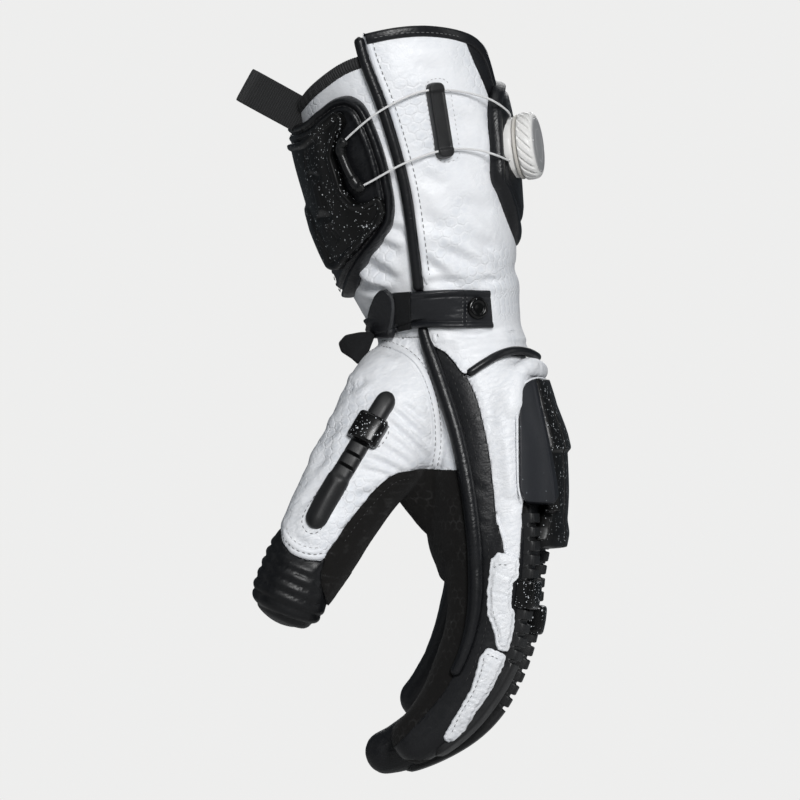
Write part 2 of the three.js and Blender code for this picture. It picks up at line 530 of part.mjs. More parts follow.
// The arc over the knuckles: at each angle round the hand, the row at which the surface meets the line
const arcZ = (x) => {
  const i = Math.max(1, arc.findIndex((p) => p[0] > x));
  const [a, b] = [arc[i - 1], arc[i]];
  return a[1] + ((b[1] - a[1]) * (x - a[0])) / (b[0] - a[0]);
};
const arcPoint = (angle) => {
  let [low, high] = [6.5, 9];
  for (let k = 0; k < 24; k++) {
    const v = (low + high) / 2;
    const p = pointAt(sectionAt(HAND, v), angle, [PIPING_LIFT, PIPING_LIFT]);
    if (p.z > arcZ(p.x)) low = v;
    else high = v;
  }
  return pointAt(sectionAt(HAND, low), angle, [PIPING_LIFT, PIPING_LIFT]);
};
const ARC_HALF = 86; // the arc's reach to each side of the back, in degrees
const arcAngles = Array.from({ length: 19 }, (_, i) => THREE.MathUtils.degToRad(ARC_HALF * (1 - i / 9)));
const arcPoints = arcAngles.map(arcPoint);
const arcBead = rod(arcPoints, PIPING_R, 5, 9);
const flapBelow = hand(FLAP + GAP).intersect(flapRegion);
add("knuckle_piping", without(arcBead, [clearSkin, flapBelow, sideBead]), BLACK_LEATHER);

// The padded roll above the guard, the guard's wall and its outer plate
const guardForm = (less = 0) =>
  hand((v) => [between(GUARD_RISE, "row", "rise", v) - less, 2.2 - less]);
const rollForm = hand(() => [ROLL_LIFT.back, ROLL_LIFT.sides]);
const roll = rollForm.intersect(prism(ROLL_OUTLINE));
add("knuckle_roll", without(roll, [clearHand, arcBead, flapBelow]), WHITE_LEATHER);
const guard = guardForm();
const guardLine = rightOf(GUARD_LINE);
const guardWall = guard.subtract(rightOf(shifted(GUARD_LINE, -GAP))).add(hand(GUARD_FLOOR));
add("guard_base", guardWall.intersect(guard).intersect(prism(GUARD_OUTLINE)).subtract(clearHand), RUBBER);
const spineRoom = hand(SPINE_ROOM).subtract(above(HEEL_Z));
const grooves = GROOVES.y.map((y) =>
  block(0, HUGE, y - GROOVES.half, y + GROOVES.half, -HUGE, GROOVES.topZ).subtract(guardForm(GUARD_SKIN)),
);
const guardCap = guard.intersect(guardLine).subtract(above(GUARD_TOP_Z)).intersect(above(GUARD_FOOT_Z));
add("guard_plate", without(guardCap, [hand(GUARD_FLOOR + GAP), spineRoom, ...grooves]), GLOSS);

// Notched rubber spines: rings of four corners along a curve on the skin, high over each tooth
const STEP = 0.05; // the run of the steep end where the tail begins
const REACH = 60; // rays start this far off a finger's middle line
const spineAlong = (points, outward) => {
  const path = new THREE.CatmullRomCurve3(points);
  const out = new THREE.CatmullRomCurve3(outward);
  const length = path.getLength();
  const corners = (s, height, width, foot) => {
    const u = THREE.MathUtils.clamp(s / length, 0, 1);
    const [p, t, n] = [path.getPointAt(u), path.getTangentAt(u), out.getPoint(u).normalize()];
    const across = new THREE.Vector3().crossVectors(t, n).normalize().multiplyScalar(width / 2);
    const [top, low] = [height, foot].map((h) => p.clone().addScaledVector(n, h));
    const turns = [[top, 1], [top, -1], [low, -1], [low, 1]];
    return turns.map(([q, side]) => q.clone().addScaledVector(across, side));
  };
  const body = (profile, width, foot = -4) =>
    loft(profile.map(([s, height]) => corners(s, height, width, foot)));
  return { length, body };
};
const spineSolid = (spine, teeth) => {
  const pitch = SPINE.toothLength + SPINE.slot;
  const tailFrom = SPINE.lead + teeth * pitch;
  const strip = [0, 0.33, 0.67, 1].map((k) => [k * tailFrom, SPINE.strip]);
  for (const k of [0, 0.5, 1])
    strip.push([
      THREE.MathUtils.lerp(tailFrom + STEP, spine.length, k),
      THREE.MathUtils.lerp(SPINE.tooth - STEP, SPINE.tip, k),
    ]);
  const blocks = Array.from({ length: teeth }, (_, i) => {
    const s = SPINE.lead + i * pitch;
    const ends = [[s, SPINE.tooth], [s + SPINE.toothLength, SPINE.tooth]];
    return spine.body(ends, SPINE.width - SPINE.narrower, SPINE.strip - SPINE.sink);
  });
  return union([spine.body(strip, SPINE.width).subtract(clearSkin), ...blocks]);
};
const clipSolid = (spine, at, more = 0) => {
  const ends = (length, height) => [-0.5, 0, 0.5].map((k) => [at + k * length, height]);
  const outer = spine.body(
    ends(CLIP.length + 2 * more, SPINE.tooth + GAP + CLIP.roof), SPINE.width + 2 * (GAP + CLIP.side + more),
  );
  return outer.subtract(spine.body(ends(CLIP.length + 2, SPINE.tooth + GAP), SPINE.width + 2 * GAP));
};
const clearSurface = surfaceOf(clearSkin);
const STRIP_LEATHER = 1.5;
const nearFinger = block(-HUGE, HUGE, -HUGE, -34, -HUGE, HUGE);
for (const { finger: name, from, to, teeth, clip } of SPINES) {
  const rows = FINGERS[name].rows;
  const stations = Array.from({ length: 12 }, (_, i) => sectionAt(rows, from + ((to - from) * i) / 11));
  const points = stations.map((s) =>
    meet(clearSurface, s.centre.clone().addScaledVector(s.back, REACH), s.back.clone().negate()),
  );
  const spine = spineAlong(points, stations.map((s) => s.back.clone()));
  const clipAt = (spine.length * (clip - from)) / (to - from);
  add(name + "_spine", spineSolid(spine, teeth).subtract(guard.intersect(above(HEEL_Z))), RUBBER);
  add(name + "_clip", clipSolid(spine, clipAt).subtract(clearSkin), GLOSS);
  if (name === "index") {
    const strips = without(skin(STRIP_LEATHER).subtract(clearSkin).intersect(nearFinger), [
      spine.body([0, 0.25, 0.5, 0.75, 1].map((k) => [k * spine.length, 6]), SPINE.width + 2 * GAP),
      clipSolid(spine, clipAt, GAP),
    ]);
    add("index_strip_upper", strips.intersect(prism(STRIP_ONE)), WHITE_LEATHER);
    add("index_strip_lower", strips.intersect(prism(STRIP_TWO)), WHITE_LEATHER);
  }
}
const thumbPoints = spline(THUMB_SPINE, 8).map(([x, z]) => onThumbSide(clearSurface, x, z));
const thumbOut = thumbPoints.map(() => new THREE.Vector3(-0.18, -1, 0.06).normalize());
const thumbSpine = spineAlong(thumbPoints, thumbOut);
add("thumb_spine", spineSolid(thumbSpine, THUMB_TEETH), RUBBER);
add("thumb_clip", clipSolid(thumbSpine, THUMB_CLIP_AT).subtract(clearSkin), GLOSS);

// The wrist strap: it lies on the palm side, climbs over the flap's edge and ends beside the snap
const STRAP_LIFT = { back: FLAP + 0.9, palm: 0.8 }; // over the flap, and over the bare cuff
const strapLift = (v, angle) => {
  const degrees = Math.abs(THREE.MathUtils.radToDeg(angle > Math.PI ? angle - 2 * Math.PI : angle));
  const palm = THREE.MathUtils.smoothstep(degrees, 104, 140);
  const lift = THREE.MathUtils.lerp(STRAP_LIFT.back, STRAP_LIFT.palm, palm);
  return [lift, lift];
};
const raised = (more) => (v, angle) => strapLift(v, angle).map((lift) => lift + more);
const strapForm = (more) => hand(raised(more));
const strapInner = strapForm(0);
const strapOuter = strapForm(STRAP);
const strapBand = prism([...STRAP_UPPER, ...STRAP_LOWER]);
add("wrist_strap", strapOuter.subtract(strapInner).intersect(strapBand), BLACK_LEATHER);
const TAB = 1.9;
const TAB_FAR_Y = 16;
const strapClear = strapForm(STRAP + GAP);
const tabLayer = strapForm(STRAP + GAP + TAB).subtract(strapClear);
add("strap_tab", tabLayer.intersect(prism(STRAP_TAB, -HUGE, TAB_FAR_Y)), SUEDE);
const END_Y = [-19, -16.8];
const strapLower = [...STRAP_UPPER, ...STRAP_LOWER].map(([x, z]) => [x, z - GAP]);
const strapRoom = strapClear.intersect(prism(strapLower));
const tabRoom = strapForm(STRAP + 2 * GAP + TAB).intersect(above(STRAP_TAB.at(-1)[1] - GAP));
add("strap_end", without(prism(STRAP_END, ...END_Y), [clearSkin, strapRoom, tabRoom]), SUEDE);
const strapSurface = surfaceOf(strapOuter);
const snapPoint = onThumbSide(strapSurface, SNAP.x, SNAP.z);
const snapNormal = raycaster.intersectObject(strapSurface)[0].face.normal;
const turned = (geometry, direction, place) => {
  geometry.applyQuaternion(new THREE.Quaternion().setFromUnitVectors(new THREE.Vector3(0, 1, 0), direction));
  return solidOf(geometry.translate(place.x, place.y, place.z));
};
const profileOf = (pairs) => pairs.map(([r, h]) => new THREE.Vector2(r, h));
const snapProfile = profileOf([
  [0, 0], [SNAP.r, 0], [SNAP.r, 0.8], [SNAP.r - 0.7, SNAP.height], [2.6, SNAP.height - 0.5], [0, SNAP.height],
]);
const snapPlace = snapPoint.clone().addScaledVector(snapNormal, GAP);
const snap = turned(new THREE.LatheGeometry(snapProfile, 12), snapNormal, snapPlace);
add("snap_stud", snap.subtract(strapClear), GLOSS);

// The cuff's padded backing and the plate on it
const PAD_FAR_Y = 24;
const padLayer = (low, high) => hand(high).subtract(hand(low));
add("cuff_pad", padLayer(GAP, PAD_HEIGHT).intersect(prism(CUFF_PAD, -HUGE, PAD_FAR_Y)), BLACK_LEATHER);
const plateLayer = padLayer(PAD_HEIGHT + GAP, PLATE_HEIGHT);
add("cuff_plate", plateLayer.intersect(prism(CUFF_PLATE, -HUGE, PAD_FAR_Y - 4)), GLOSS);

// The lace with its hook, its guide, and the dial that winds it
const laceCurve = new THREE.CatmullRomCurve3(
  LACE.map(({ x, z, lift, y }) => (lift ? onSkin(x, z, lift) : new THREE.Vector3(x, y, z))),
);
const tunnel = rod(laceCurve, TUNNEL_R, 5, LACE_STEPS);
add("lace", rod(laceCurve, LACE_R, 5, LACE_STEPS), WHITE_PLASTIC);
const laceStretch = (from, to, count) =>
  Array.from({ length: count + 1 }, (_, i) => laceCurve.getPointAt(THREE.MathUtils.lerp(from, to, i / count)));
const hookPoints = laceStretch(HOOK_SPAN[0], HOOK_SPAN[1], 6);
const padTop = hand(PAD_HEIGHT + GAP);
add("lace_hook", without(rod(hookPoints, HOOK_R, 6, 6), [tunnel, padTop]), RUBBER);
const guideAxis = new THREE.Vector2(...LACE_GUIDE.foot).sub(new THREE.Vector2(...LACE_GUIDE.top)).normalize();
const guideSide = [-guideAxis.y * (LACE_GUIDE.width / 2), guideAxis.x * (LACE_GUIDE.width / 2)];
const guideCorner = ([x, z], side, along) => [
  x + side * guideSide[0] + along * guideAxis.x, z + side * guideSide[1] + along * guideAxis.y,
];
const guideOutline = [
  ...[[1, 2], [0.6, 0], [-0.6, 0], [-1, 2]].map((corner) => guideCorner(LACE_GUIDE.top, ...corner)),
  ...[[-1, -2], [-0.6, 0], [0.6, 0], [1, -2]].map((corner) => guideCorner(LACE_GUIDE.foot, ...corner)),
];
const flapClear = hand(FLAP + GAP);
const guideForm = hand(FLAP + GAP + LACE_GUIDE.height).subtract(flapClear).intersect(prism(guideOutline));
add("lace_guide", guideForm.intersect(nearSide).subtract(tunnel), RUBBER);

const disc = (radius, low, high, sides = 16) =>
  turned(
    new THREE.LatheGeometry(profileOf([[0, low], [radius, low], [radius, high], [0, high]]), sides),
    DIAL.axis, DIAL.centre,
  );
const heights = [0, DIAL.baseHeight, DIAL.baseHeight + GAP];
heights.push(heights[2] + DIAL.flangeHeight, heights[2] + DIAL.flangeHeight + GAP);
const knobTop = heights[4] + DIAL.knobHeight;
const BORE_FLOOR = 1.2; // leather side of the hole that the spindle stands in
const CAP_SEAT = 0.4;
const bore = disc(DIAL.boreR, BORE_FLOOR, knobTop - 2, 10);
const dialPadForm = hand((v) => Array(2).fill(between(DIAL_PAD_RISE, "row", "rise", v)));
const dialSeat = disc(DIAL.baseR + GAP, -4, 12);
const dialPad = dialPadForm.subtract(flapClear).intersect(rightOf(DIAL_PAD));
add("dial_pad", without(dialPad, [dialSeat, bandRoom, tunnel]), BLACK_LEATHER);
add("dial_base", without(disc(DIAL.baseR, 0, DIAL.baseHeight), [bore, tunnel]), WHITE_PLASTIC);
add("dial_flange", disc(DIAL.flangeR, heights[2], heights[3]).subtract(bore), WHITE_PLASTIC);

// The knob's rim is knurled: it swings in and out as it goes round, and twists as it rises
const knobRing = (height, radius, depth, twist) =>
  Array.from({ length: 2 * DIAL.knurls }, (_, i) => {
    const angle = (Math.PI * i) / DIAL.knurls + twist;
    const r = radius - (i % 2) * depth;
    return new THREE.Vector3(r * Math.cos(angle), height, r * Math.sin(angle));
  });
const KNOB = table("height inset depth twist", [
  [heights[4], 0.6, 0, 0],
  [heights[4] + 0.8, 0, 0.9, 0.05],
  [knobTop - 1.6, 0.2, 0.9, 0.25],
  [knobTop, 1.9, 0, 0.3],
]);
const knobRings = KNOB.map(({ height, inset, depth, twist }) =>
  knobRing(height, DIAL.knobR - inset, depth, twist),
);
const toDial = new THREE.Matrix4().compose(
  DIAL.centre,
  new THREE.Quaternion().setFromUnitVectors(new THREE.Vector3(0, 1, 0), DIAL.axis),
  new THREE.Vector3(1, 1, 1),
);
const knob = loft(knobRings.map((ring) => ring.map((p) => p.applyMatrix4(toDial))));
const capSeat = knobTop - DIAL.capHeight - CAP_SEAT;
add("dial_knob", without(knob, [bore, disc(DIAL.capR + GAP, capSeat, knobTop + 5)]), WHITE_PLASTIC);
add("dial_cap", disc(DIAL.capR, capSeat + GAP, knobTop + 0.3), GREY_METAL);
add("dial_spindle", disc(DIAL.spindleR, BORE_FLOOR + SEAM, knobTop - 2 - SEAM, 10), GREY_METAL);

// The pull loop: webbing folded back on itself, wide in the middle and sewn down at its root
const loopAxis = new THREE.Vector2(...LOOP.end).sub(new THREE.Vector2(...LOOP.root));
const loopLength = loopAxis.length();
const bend = loopLength - LOOP.belly;
const teardrop = (inset) => {
  const [half, foot] = [LOOP.belly - inset, 1.8 - inset];
  const shape = new THREE.Shape();
  shape.moveTo(inset * 3, -Math.max(foot, 0.15));
  shape.bezierCurveTo(loopLength * 0.35, -foot, loopLength * 0.55, -half, bend, -half);
  shape.absarc(bend, 0, half, -Math.PI / 2, Math.PI / 2, false);
  shape.bezierCurveTo(loopLength * 0.55, half, loopLength * 0.35, foot, inset * 3, Math.max(foot, 0.15));
  return shape;
};
const loopShape = teardrop(0);
loopShape.holes.push(new THREE.Path(teardrop(LOOP.cloth).getPoints(5).reverse()));
const loopOptions = { depth: LOOP.width, bevelEnabled: false, curveSegments: 5 };
const loopGeometry = new THREE.ExtrudeGeometry(loopShape, loopOptions);
loopGeometry.translate(0, 0, -LOOP.width / 2);
const [ux, uz] = [loopAxis.x / loopLength, loopAxis.y / loopLength];
loopGeometry.applyMatrix4(
  new THREE.Matrix4().set(
    ux, 0, -uz, LOOP.root[0],
    0, 1, 0, LOOP.y,
    uz, 0, ux, LOOP.root[1],
    0, 0, 0, 1,
  ),
);
const padClear = hand(PAD_HEIGHT + GAP).intersect(prism(CUFF_PAD, -HUGE, PAD_FAR_Y + GAP));
const plateClear = hand(PLATE_HEIGHT + GAP).intersect(prism(CUFF_PLATE, -HUGE, PAD_FAR_Y));
const bandClear = hand(BINDING_LIFT + GAP).intersect(below(cuffTop));
add("pull_loop", without(solidOf(loopGeometry), [clearHand, bandClear, padClear, plateClear]), SUEDE);

export default group;
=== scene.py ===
# %% [markdown]
# # A leather motorcycle glove
# A racing gauntlet is a bag of leather panels: a wide cuff, a lapped flap that closes it, a hand, a thumb
# and four curled fingers, with hard pieces riveted on top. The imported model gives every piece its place
# and size. This notebook dresses it: each cell first says what the piece is on the real glove.

# %% Load the frame
import json
import math
import bpy
import numpy as np
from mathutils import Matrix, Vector
from mathutils.bvhtree import BVHTree

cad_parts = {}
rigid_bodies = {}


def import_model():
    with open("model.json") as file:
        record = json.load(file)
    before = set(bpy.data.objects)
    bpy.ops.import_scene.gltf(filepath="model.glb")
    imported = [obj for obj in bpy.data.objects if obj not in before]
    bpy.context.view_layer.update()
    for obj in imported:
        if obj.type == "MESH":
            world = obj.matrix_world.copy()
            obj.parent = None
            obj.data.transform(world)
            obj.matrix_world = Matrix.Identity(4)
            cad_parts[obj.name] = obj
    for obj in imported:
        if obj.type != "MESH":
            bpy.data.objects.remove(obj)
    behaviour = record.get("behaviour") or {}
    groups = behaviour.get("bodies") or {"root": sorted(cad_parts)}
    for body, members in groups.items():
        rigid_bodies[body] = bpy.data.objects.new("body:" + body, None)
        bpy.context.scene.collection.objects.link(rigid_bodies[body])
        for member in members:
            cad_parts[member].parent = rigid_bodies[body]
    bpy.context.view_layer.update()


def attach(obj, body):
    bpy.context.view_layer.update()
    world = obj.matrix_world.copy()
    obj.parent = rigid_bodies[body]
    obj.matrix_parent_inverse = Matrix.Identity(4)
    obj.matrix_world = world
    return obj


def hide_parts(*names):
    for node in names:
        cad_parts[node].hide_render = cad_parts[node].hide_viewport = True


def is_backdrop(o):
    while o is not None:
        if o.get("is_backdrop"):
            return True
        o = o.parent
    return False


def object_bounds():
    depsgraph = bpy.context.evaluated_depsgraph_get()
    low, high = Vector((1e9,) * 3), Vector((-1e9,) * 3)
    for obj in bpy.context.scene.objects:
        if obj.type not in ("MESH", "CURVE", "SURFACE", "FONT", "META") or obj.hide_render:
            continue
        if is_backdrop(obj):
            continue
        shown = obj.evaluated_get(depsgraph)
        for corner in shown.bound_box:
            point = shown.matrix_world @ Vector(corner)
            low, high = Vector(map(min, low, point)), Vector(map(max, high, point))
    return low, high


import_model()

MM = 0.001

# %% [markdown]
# The photograph was taken level, from the thumb side, and from far enough away that nothing looks
# enlarged, so the camera stands four metres off with a very long lens. A big soft light from the front
# right shapes the white leather, and two strips at the sides draw the shine on the black pieces.

# %% Camera, lights and floor
SCENE = bpy.context.scene
FRAME_WIDTH = 328.0  # millimetres of the glove's plane that the square picture covers
AIM = Vector((-16.4, -20.0, -36.1)) * MM
SENSOR, DISTANCE = 36, 4.0  # the sensor in millimetres, the distance in metres


def add(name, data, place=(0, 0, 0)):
    """A new object in the scene."""
    made = bpy.data.objects.new(name, data)
    made.location = place
    SCENE.collection.objects.link(made)
    return made


camera_data = bpy.data.cameras.new("camera")
camera_data.sensor_width, camera_data.clip_end = SENSOR, 20
camera_data.lens = SENSOR * DISTANCE / (FRAME_WIDTH * MM)
SCENE.camera = add("camera", camera_data, AIM + Vector((0, -DISTANCE, 0)))
SCENE.camera.rotation_euler = (math.pi / 2, 0, 0)
LIGHTS = [  # name, place, width and height in metres, watts
    ("key", (0.34, -1.45, 0.62), (0.5, 0.5), 20), ("fill", (-0.8, -1.2, 0.2), (0.8, 1.0), 0.8),
    ("strip_right", (1.0, -0.1, 0.25), (0.25, 1.0), 1.6), ("strip_left", (-1.0, 0.1, 0.2), (0.25, 1.0), 0.4),
    ("top", (0.0, -0.1, 1.1), (0.8, 0.8), 2.0), ("behind", (0.1, 1.5, 0.7), (0.9, 0.9), 6),
]
for name, place, size, power in LIGHTS:
    lamp = bpy.data.lights.new(name, "AREA")
    lamp.shape, lamp.energy = "RECTANGLE", power
    lamp.size, lamp.size_y = size
    facing = Vector((0, 0, -0.03)) - Vector(place)
    add(name, lamp, place).rotation_euler = facing.to_track_quat("-Z", "Y").to_euler()

world = SCENE.world = bpy.data.worlds.new("studio")
world.use_nodes = True
tree = world.node_tree
tree.nodes.clear()
kinds = "Background", "Background", "LightPath", "MixShader", "OutputWorld"
lit, seen, paths, choose, sky = (tree.nodes.new("ShaderNode" + kind) for kind in kinds)
lit.inputs["Color"].default_value, lit.inputs["Strength"].default_value = (0.78, 0.90, 1.0, 1), 0.08
seen.inputs["Color"].default_value = (0.855, 0.855, 0.85, 1)
for source, target in ((paths.outputs["Is Camera Ray"], choose.inputs["Fac"]), (lit.outputs[0], choose.inputs[1]),
                       (seen.outputs[0], choose.inputs[2]), (choose.outputs[0], sky.inputs["Surface"])):
    tree.links.new(source, target)
SCENE.view_settings.view_transform, SCENE.view_settings.look = "Standard", "None"

FLOOR_Z, FLOOR_R = -0.32, 1.1  # metres; low enough to stay out of the level photograph
turn = np.linspace(0, 2 * np.pi, 96, endpoint=False)
floor_mesh = bpy.data.meshes.new("floor")
rim = np.stack([FLOOR_R * np.cos(turn), FLOOR_R * np.sin(turn), np.full(96, FLOOR_Z)], -1)
floor_mesh.from_pydata(rim.tolist(), [], [list(range(96))])
pale_floor = bpy.data.materials.new("pale_floor")
pale_floor.use_nodes = True
floor_mesh.materials.append(pale_floor)
pale = pale_floor.node_tree
surface = pale.nodes["Principled BSDF"].inputs
cloud, tint = pale.nodes.new("ShaderNodeTexNoise"), pale.nodes.new("ShaderNodeMapRange")
cloud.inputs["Scale"].default_value = 3.0
tint.inputs["To Min"].default_value, tint.inputs["To Max"].default_value = 0.55, 0.60
pale.links.new(cloud.outputs["Fac"], tint.inputs["Value"])
pale.links.new(tint.outputs["Result"], surface["Base Color"])
surface["Roughness"].default_value = 0.8
add("floor", floor_mesh)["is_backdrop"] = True

# %% [markdown]
# The whole glove is described by cross-sections. A row of a table gives the middle of a section, its
# half thickness from palm to back, its half width across the hand, and how square it is. The same
# numbers shaped the solids, so the leather made from them lies exactly where the solids are.

# %% Tables of sections, in millimetres
HAND = np.array([  # x, y and z of the middle, thick, wide, power, and roll in degrees
    [-23.0, 0, 106.6, 40.2, 48.0, 2.1, 0],
    [-19.9, 0, 92.9, 40.2, 48.0, 2.1, 0],
    [-16.5, 0, 73.0, 41.0, 47.0, 2.1, 0],
    [-11.4, 0, 49.0, 39.0, 45.0, 2.1, 0],
    [-6.1, 0, 26.9, 36.1, 42.0, 2.1, 0],
    [-1.2, 0, 10.2, 32.3, 38.5, 2.1, 0],
    [3.6, 0, -1.2, 27.2, 35.0, 2.1, 0],
    [3.7, 0, -14.1, 28.8, 35.5, 2.15, 0],
    [11.6, 0, -31.2, 27.2, 39.0, 2.3, 0],
    [16.6, 0, -51.7, 24.8, 42.5, 2.5, 0],
    [18.2, 0, -77.1, 25.0, 44.5, 2.6, 0],
    [18.9, 0, -96.8, 23.2, 45.0, 2.6, 0],
    [18.7, 0, -107.8, 19.1, 42.5, 2.5, 0],
])
THUMB = np.array([
    [-4.1, -14, -13.5, 14, 16, 2.1, 0],
    [-12.5, -21, -31.2, 23, 19, 2.1, 0],
    [-24.6, -30, -52.5, 22.5, 18.5, 2.1, 0],
    [-36.9, -37, -71.8, 20.0, 17.5, 2.1, 0],
    [-48.0, -42, -91.8, 18.0, 16.5, 2.1, 0],
    [-56.2, -45, -106.6, 16.6, 15.5, 2.1, 0],
    [-61.5, -46, -116.0, 15.2, 14.5, 2.1, 0],
])
FINGERS = {
    "index": np.array([
        [19.6, -33.5, -79, 17.4, 10.4, 2.3, 22],
        [19.7, -34, -93.5, 18.0, 11.0, 2.3, 21],
        [19.3, -34.5, -107.8, 17.2, 11.2, 2.3, 20],
        [18.4, -34.5, -122.2, 15.8, 11.2, 2.3, 20],
        [15.6, -34.5, -135.7, 15.4, 11.2, 2.3, 20],
        [10.7, -34.5, -148.0, 14.6, 11.0, 2.3, 20],
        [4.1, -34, -159.9, 13.2, 10.8, 2.3, 18],
        [-3.7, -33.5, -169.3, 11.6, 10.6, 2.2, 16],
        [-11.0, -33, -175.3, 10.4, 10.2, 2.1, 14],
    ]),
    "middle": np.array([
        [20.4, -11, -79, 17.4, 10.4, 2.3, 5],
        [21.3, -11, -93.5, 18.0, 10.8, 2.3, 5],
        [22.1, -11, -107.8, 17.2, 11.0, 2.3, 5],
        [21.8, -10.7, -122.2, 16.5, 11.0, 2.3, 5],
        [19.0, -10.5, -136.0, 16.0, 11.0, 2.3, 5],
        [13.8, -10.3, -149.5, 15.3, 11.0, 2.3, 5],
        [6.9, -10.3, -161.2, 14.3, 10.8, 2.3, 5],
        [-3.3, -10.5, -171.0, 12.0, 10.6, 2.2, 5],
        [-14.6, -11, -177.9, 10.4, 10.4, 2.1, 5],
        [-22.5, -11.5, -180.8, 9.0, 9.6, 2.1, 5],
    ]),
    "ring": np.array([
        [19.4, 12, -79, 17.2, 10.4, 2.3, -5],
        [19.5, 12, -93.5, 17.6, 10.8, 2.3, -5],
        [18.6, 12, -107.8, 16.8, 11.0, 2.3, -5],
        [15.6, 12, -120.9, 15.0, 11.0, 2.3, -5],
        [11.1, 12, -133.7, 13.8, 10.8, 2.3, -5],
        [4.9, 12, -145.5, 12.4, 10.6, 2.2, -5],
        [-1.6, 12, -154.5, 11.2, 10.2, 2.1, -5],
        [-7.6, 12, -160.4, 9.6, 9.6, 2.1, -5],
    ]),
    "little": np.array([
        [18.0, 32.6, -79, 15.6, 9.4, 2.3, -18],
        [18.0, 33, -93.5, 15.5, 9.6, 2.3, -18],
        [16.8, 33.6, -106.6, 14.6, 9.8, 2.3, -18],
        [14.0, 33.8, -118.1, 13.2, 9.8, 2.3, -18],
        [10.2, 33.6, -128.3, 12.0, 9.6, 2.2, -18],
        [6.0, 33.2, -137.4, 10.6, 9.2, 2.1, -16],
        [2.4, 33, -143.6, 9.2, 8.8, 2.1, -14],
    ]),
}
CAPS = {"hand": 7.0, "thumb": 12.0, "index": 8.5, "middle": 8.5, "ring": 8.0, "little": 7.5}
MOUTH = 14.0  # the cuff's sections are carried on this far past the first row
WALL = 2.0
FLAP = 2.3
print("sections:", len(HAND), "for the hand,", len(THUMB), "for the thumb,",
      {name: len(rows) for name, rows in FINGERS.items()})

# %% [markdown]
# Between the rows a Catmull-Rom curve runs through every column. A point on the surface is then a
# function of two parameters: v, the row number with its fraction, and the angle round the section,
# where 0 is the back of the hand, 90 degrees the thumb side and 180 the palm.

# %% From tables to surfaces
def rows_at(table, v):
    """Every column of the table at row number v: a cubic through the rows, with the slope at a row half
    the difference of its neighbours."""
    v = np.asarray(v, float)
    last = len(table) - 1
    i = np.clip(np.floor(v).astype(int), 0, last - 1)
    t = (v - i)[..., None]
    a, b, c, d = (table[np.clip(i + k, 0, last)] for k in (-1, 0, 1, 2))
    m = np.where((i == 0)[..., None], c - b, (c - a) / 2)
    n = np.where((i == last - 1)[..., None], c - b, (d - b) / 2)
    return ((2 * t**3 - 3 * t**2 + 1) * b + (t**3 - 2 * t**2 + t) * m
            + (3 * t**2 - 2 * t**3) * c + (t**3 - t**2) * n)


def section(table, v):
    """Middle, direction along, direction to the back, direction to the side, and the row, at v."""
    row = rows_at(table, v)
    last = len(table) - 1
    step = rows_at(table, np.minimum(v + 0.02, last)) - rows_at(table, np.maximum(v - 0.02, 0))
    along = np.stack([step[..., 0], 0 * step[..., 0], step[..., 2]], -1)
    along /= np.linalg.norm(along, axis=-1, keepdims=True)
    back = np.stack([-along[..., 2], 0 * along[..., 0], along[..., 0]], -1)
    side = np.zeros_like(back)
    side[..., 1] = -1
    roll = np.radians(row[..., 6])[..., None]
    return (row[..., :3], along, back * np.cos(roll) + side * np.sin(roll),
            side * np.cos(roll) - back * np.sin(roll), row)


def bend(value, power):
    """Keeps the sign and raises the size to 2 / power, which makes a circle into a superellipse."""
    return np.sign(value) * np.abs(value) ** (2 / power)


def on_tube(table, cap, v, angle, lift=0.0, lift_side=None):
    """A point of the tube: middle + back * (thick + lift) * bend(cos angle) + side * (wide + lift) *
    bend(sin angle). Before the first row it slides straight out; past the last a dome closes it."""
    v, angle = np.broadcast_arrays(np.asarray(v, float), np.asarray(angle, float))
    last = len(table) - 1
    centre, along, back, side, row = section(table, np.clip(v, 0, last))
    lift_side = lift if lift_side is None else lift_side
    past, power = np.clip(v - last, 0, 1) * np.pi / 2, row[..., 5]
    out = (row[..., 3] + lift) * np.cos(past) * bend(np.cos(angle), power)
    across = (row[..., 4] + lift_side) * np.cos(past) * bend(np.sin(angle), power)
    push = (cap + lift) * np.sin(past) + MOUTH * np.minimum(v, 0)
    return (centre + back * out[..., None] + side * across[..., None] + along * push[..., None])


def on_hand(v, angle, lift=0.0):
    """A point of the hand's and cuff's surface."""
    return on_tube(HAND, CAPS["hand"], v, angle, lift)


print("wrist, back of the hand:", on_hand(6, 0).round(1), "thumb side:", on_hand(6, np.pi / 2).round(1))

# %% [markdown]
# Small tools for grids, meshes and paths. A grid of points becomes four-sided faces; a path carries a
# profile along it with frames that never twist; and a mesh is filled from whole arrays at once.

# %% Grids, meshes and paths
def grid_faces(rows, columns, wrap=False):
    """Faces between neighbouring points of a rows x columns grid; wrap joins the last column to the first."""
    ids = np.arange(rows * columns).reshape(rows, columns)
    if wrap:
        ids = np.hstack([ids, ids[:, :1]])
    a, b, c, d = ids[:-1, :-1], ids[1:, :-1], ids[1:, 1:], ids[:-1, 1:]
    return np.stack([a, b, c, d], -1).reshape(-1, 4)


def triangles(faces):
    """Each four-sided face as two triangles."""
    return np.vstack([faces[:, [0, 1, 2]], faces[:, [0, 2, 3]]])


def proper(faces):
    """The triangles whose three corners differ."""
    return faces[(faces != np.roll(faces, 1, 1)).all(1)]


def outward(points, faces):
    """The faces, turned if their volume comes out negative."""
    a, b, c = points[faces].transpose(1, 0, 2)
    return faces[:, ::-1] if np.sum(a * np.cross(b, c)) < 0 else faces


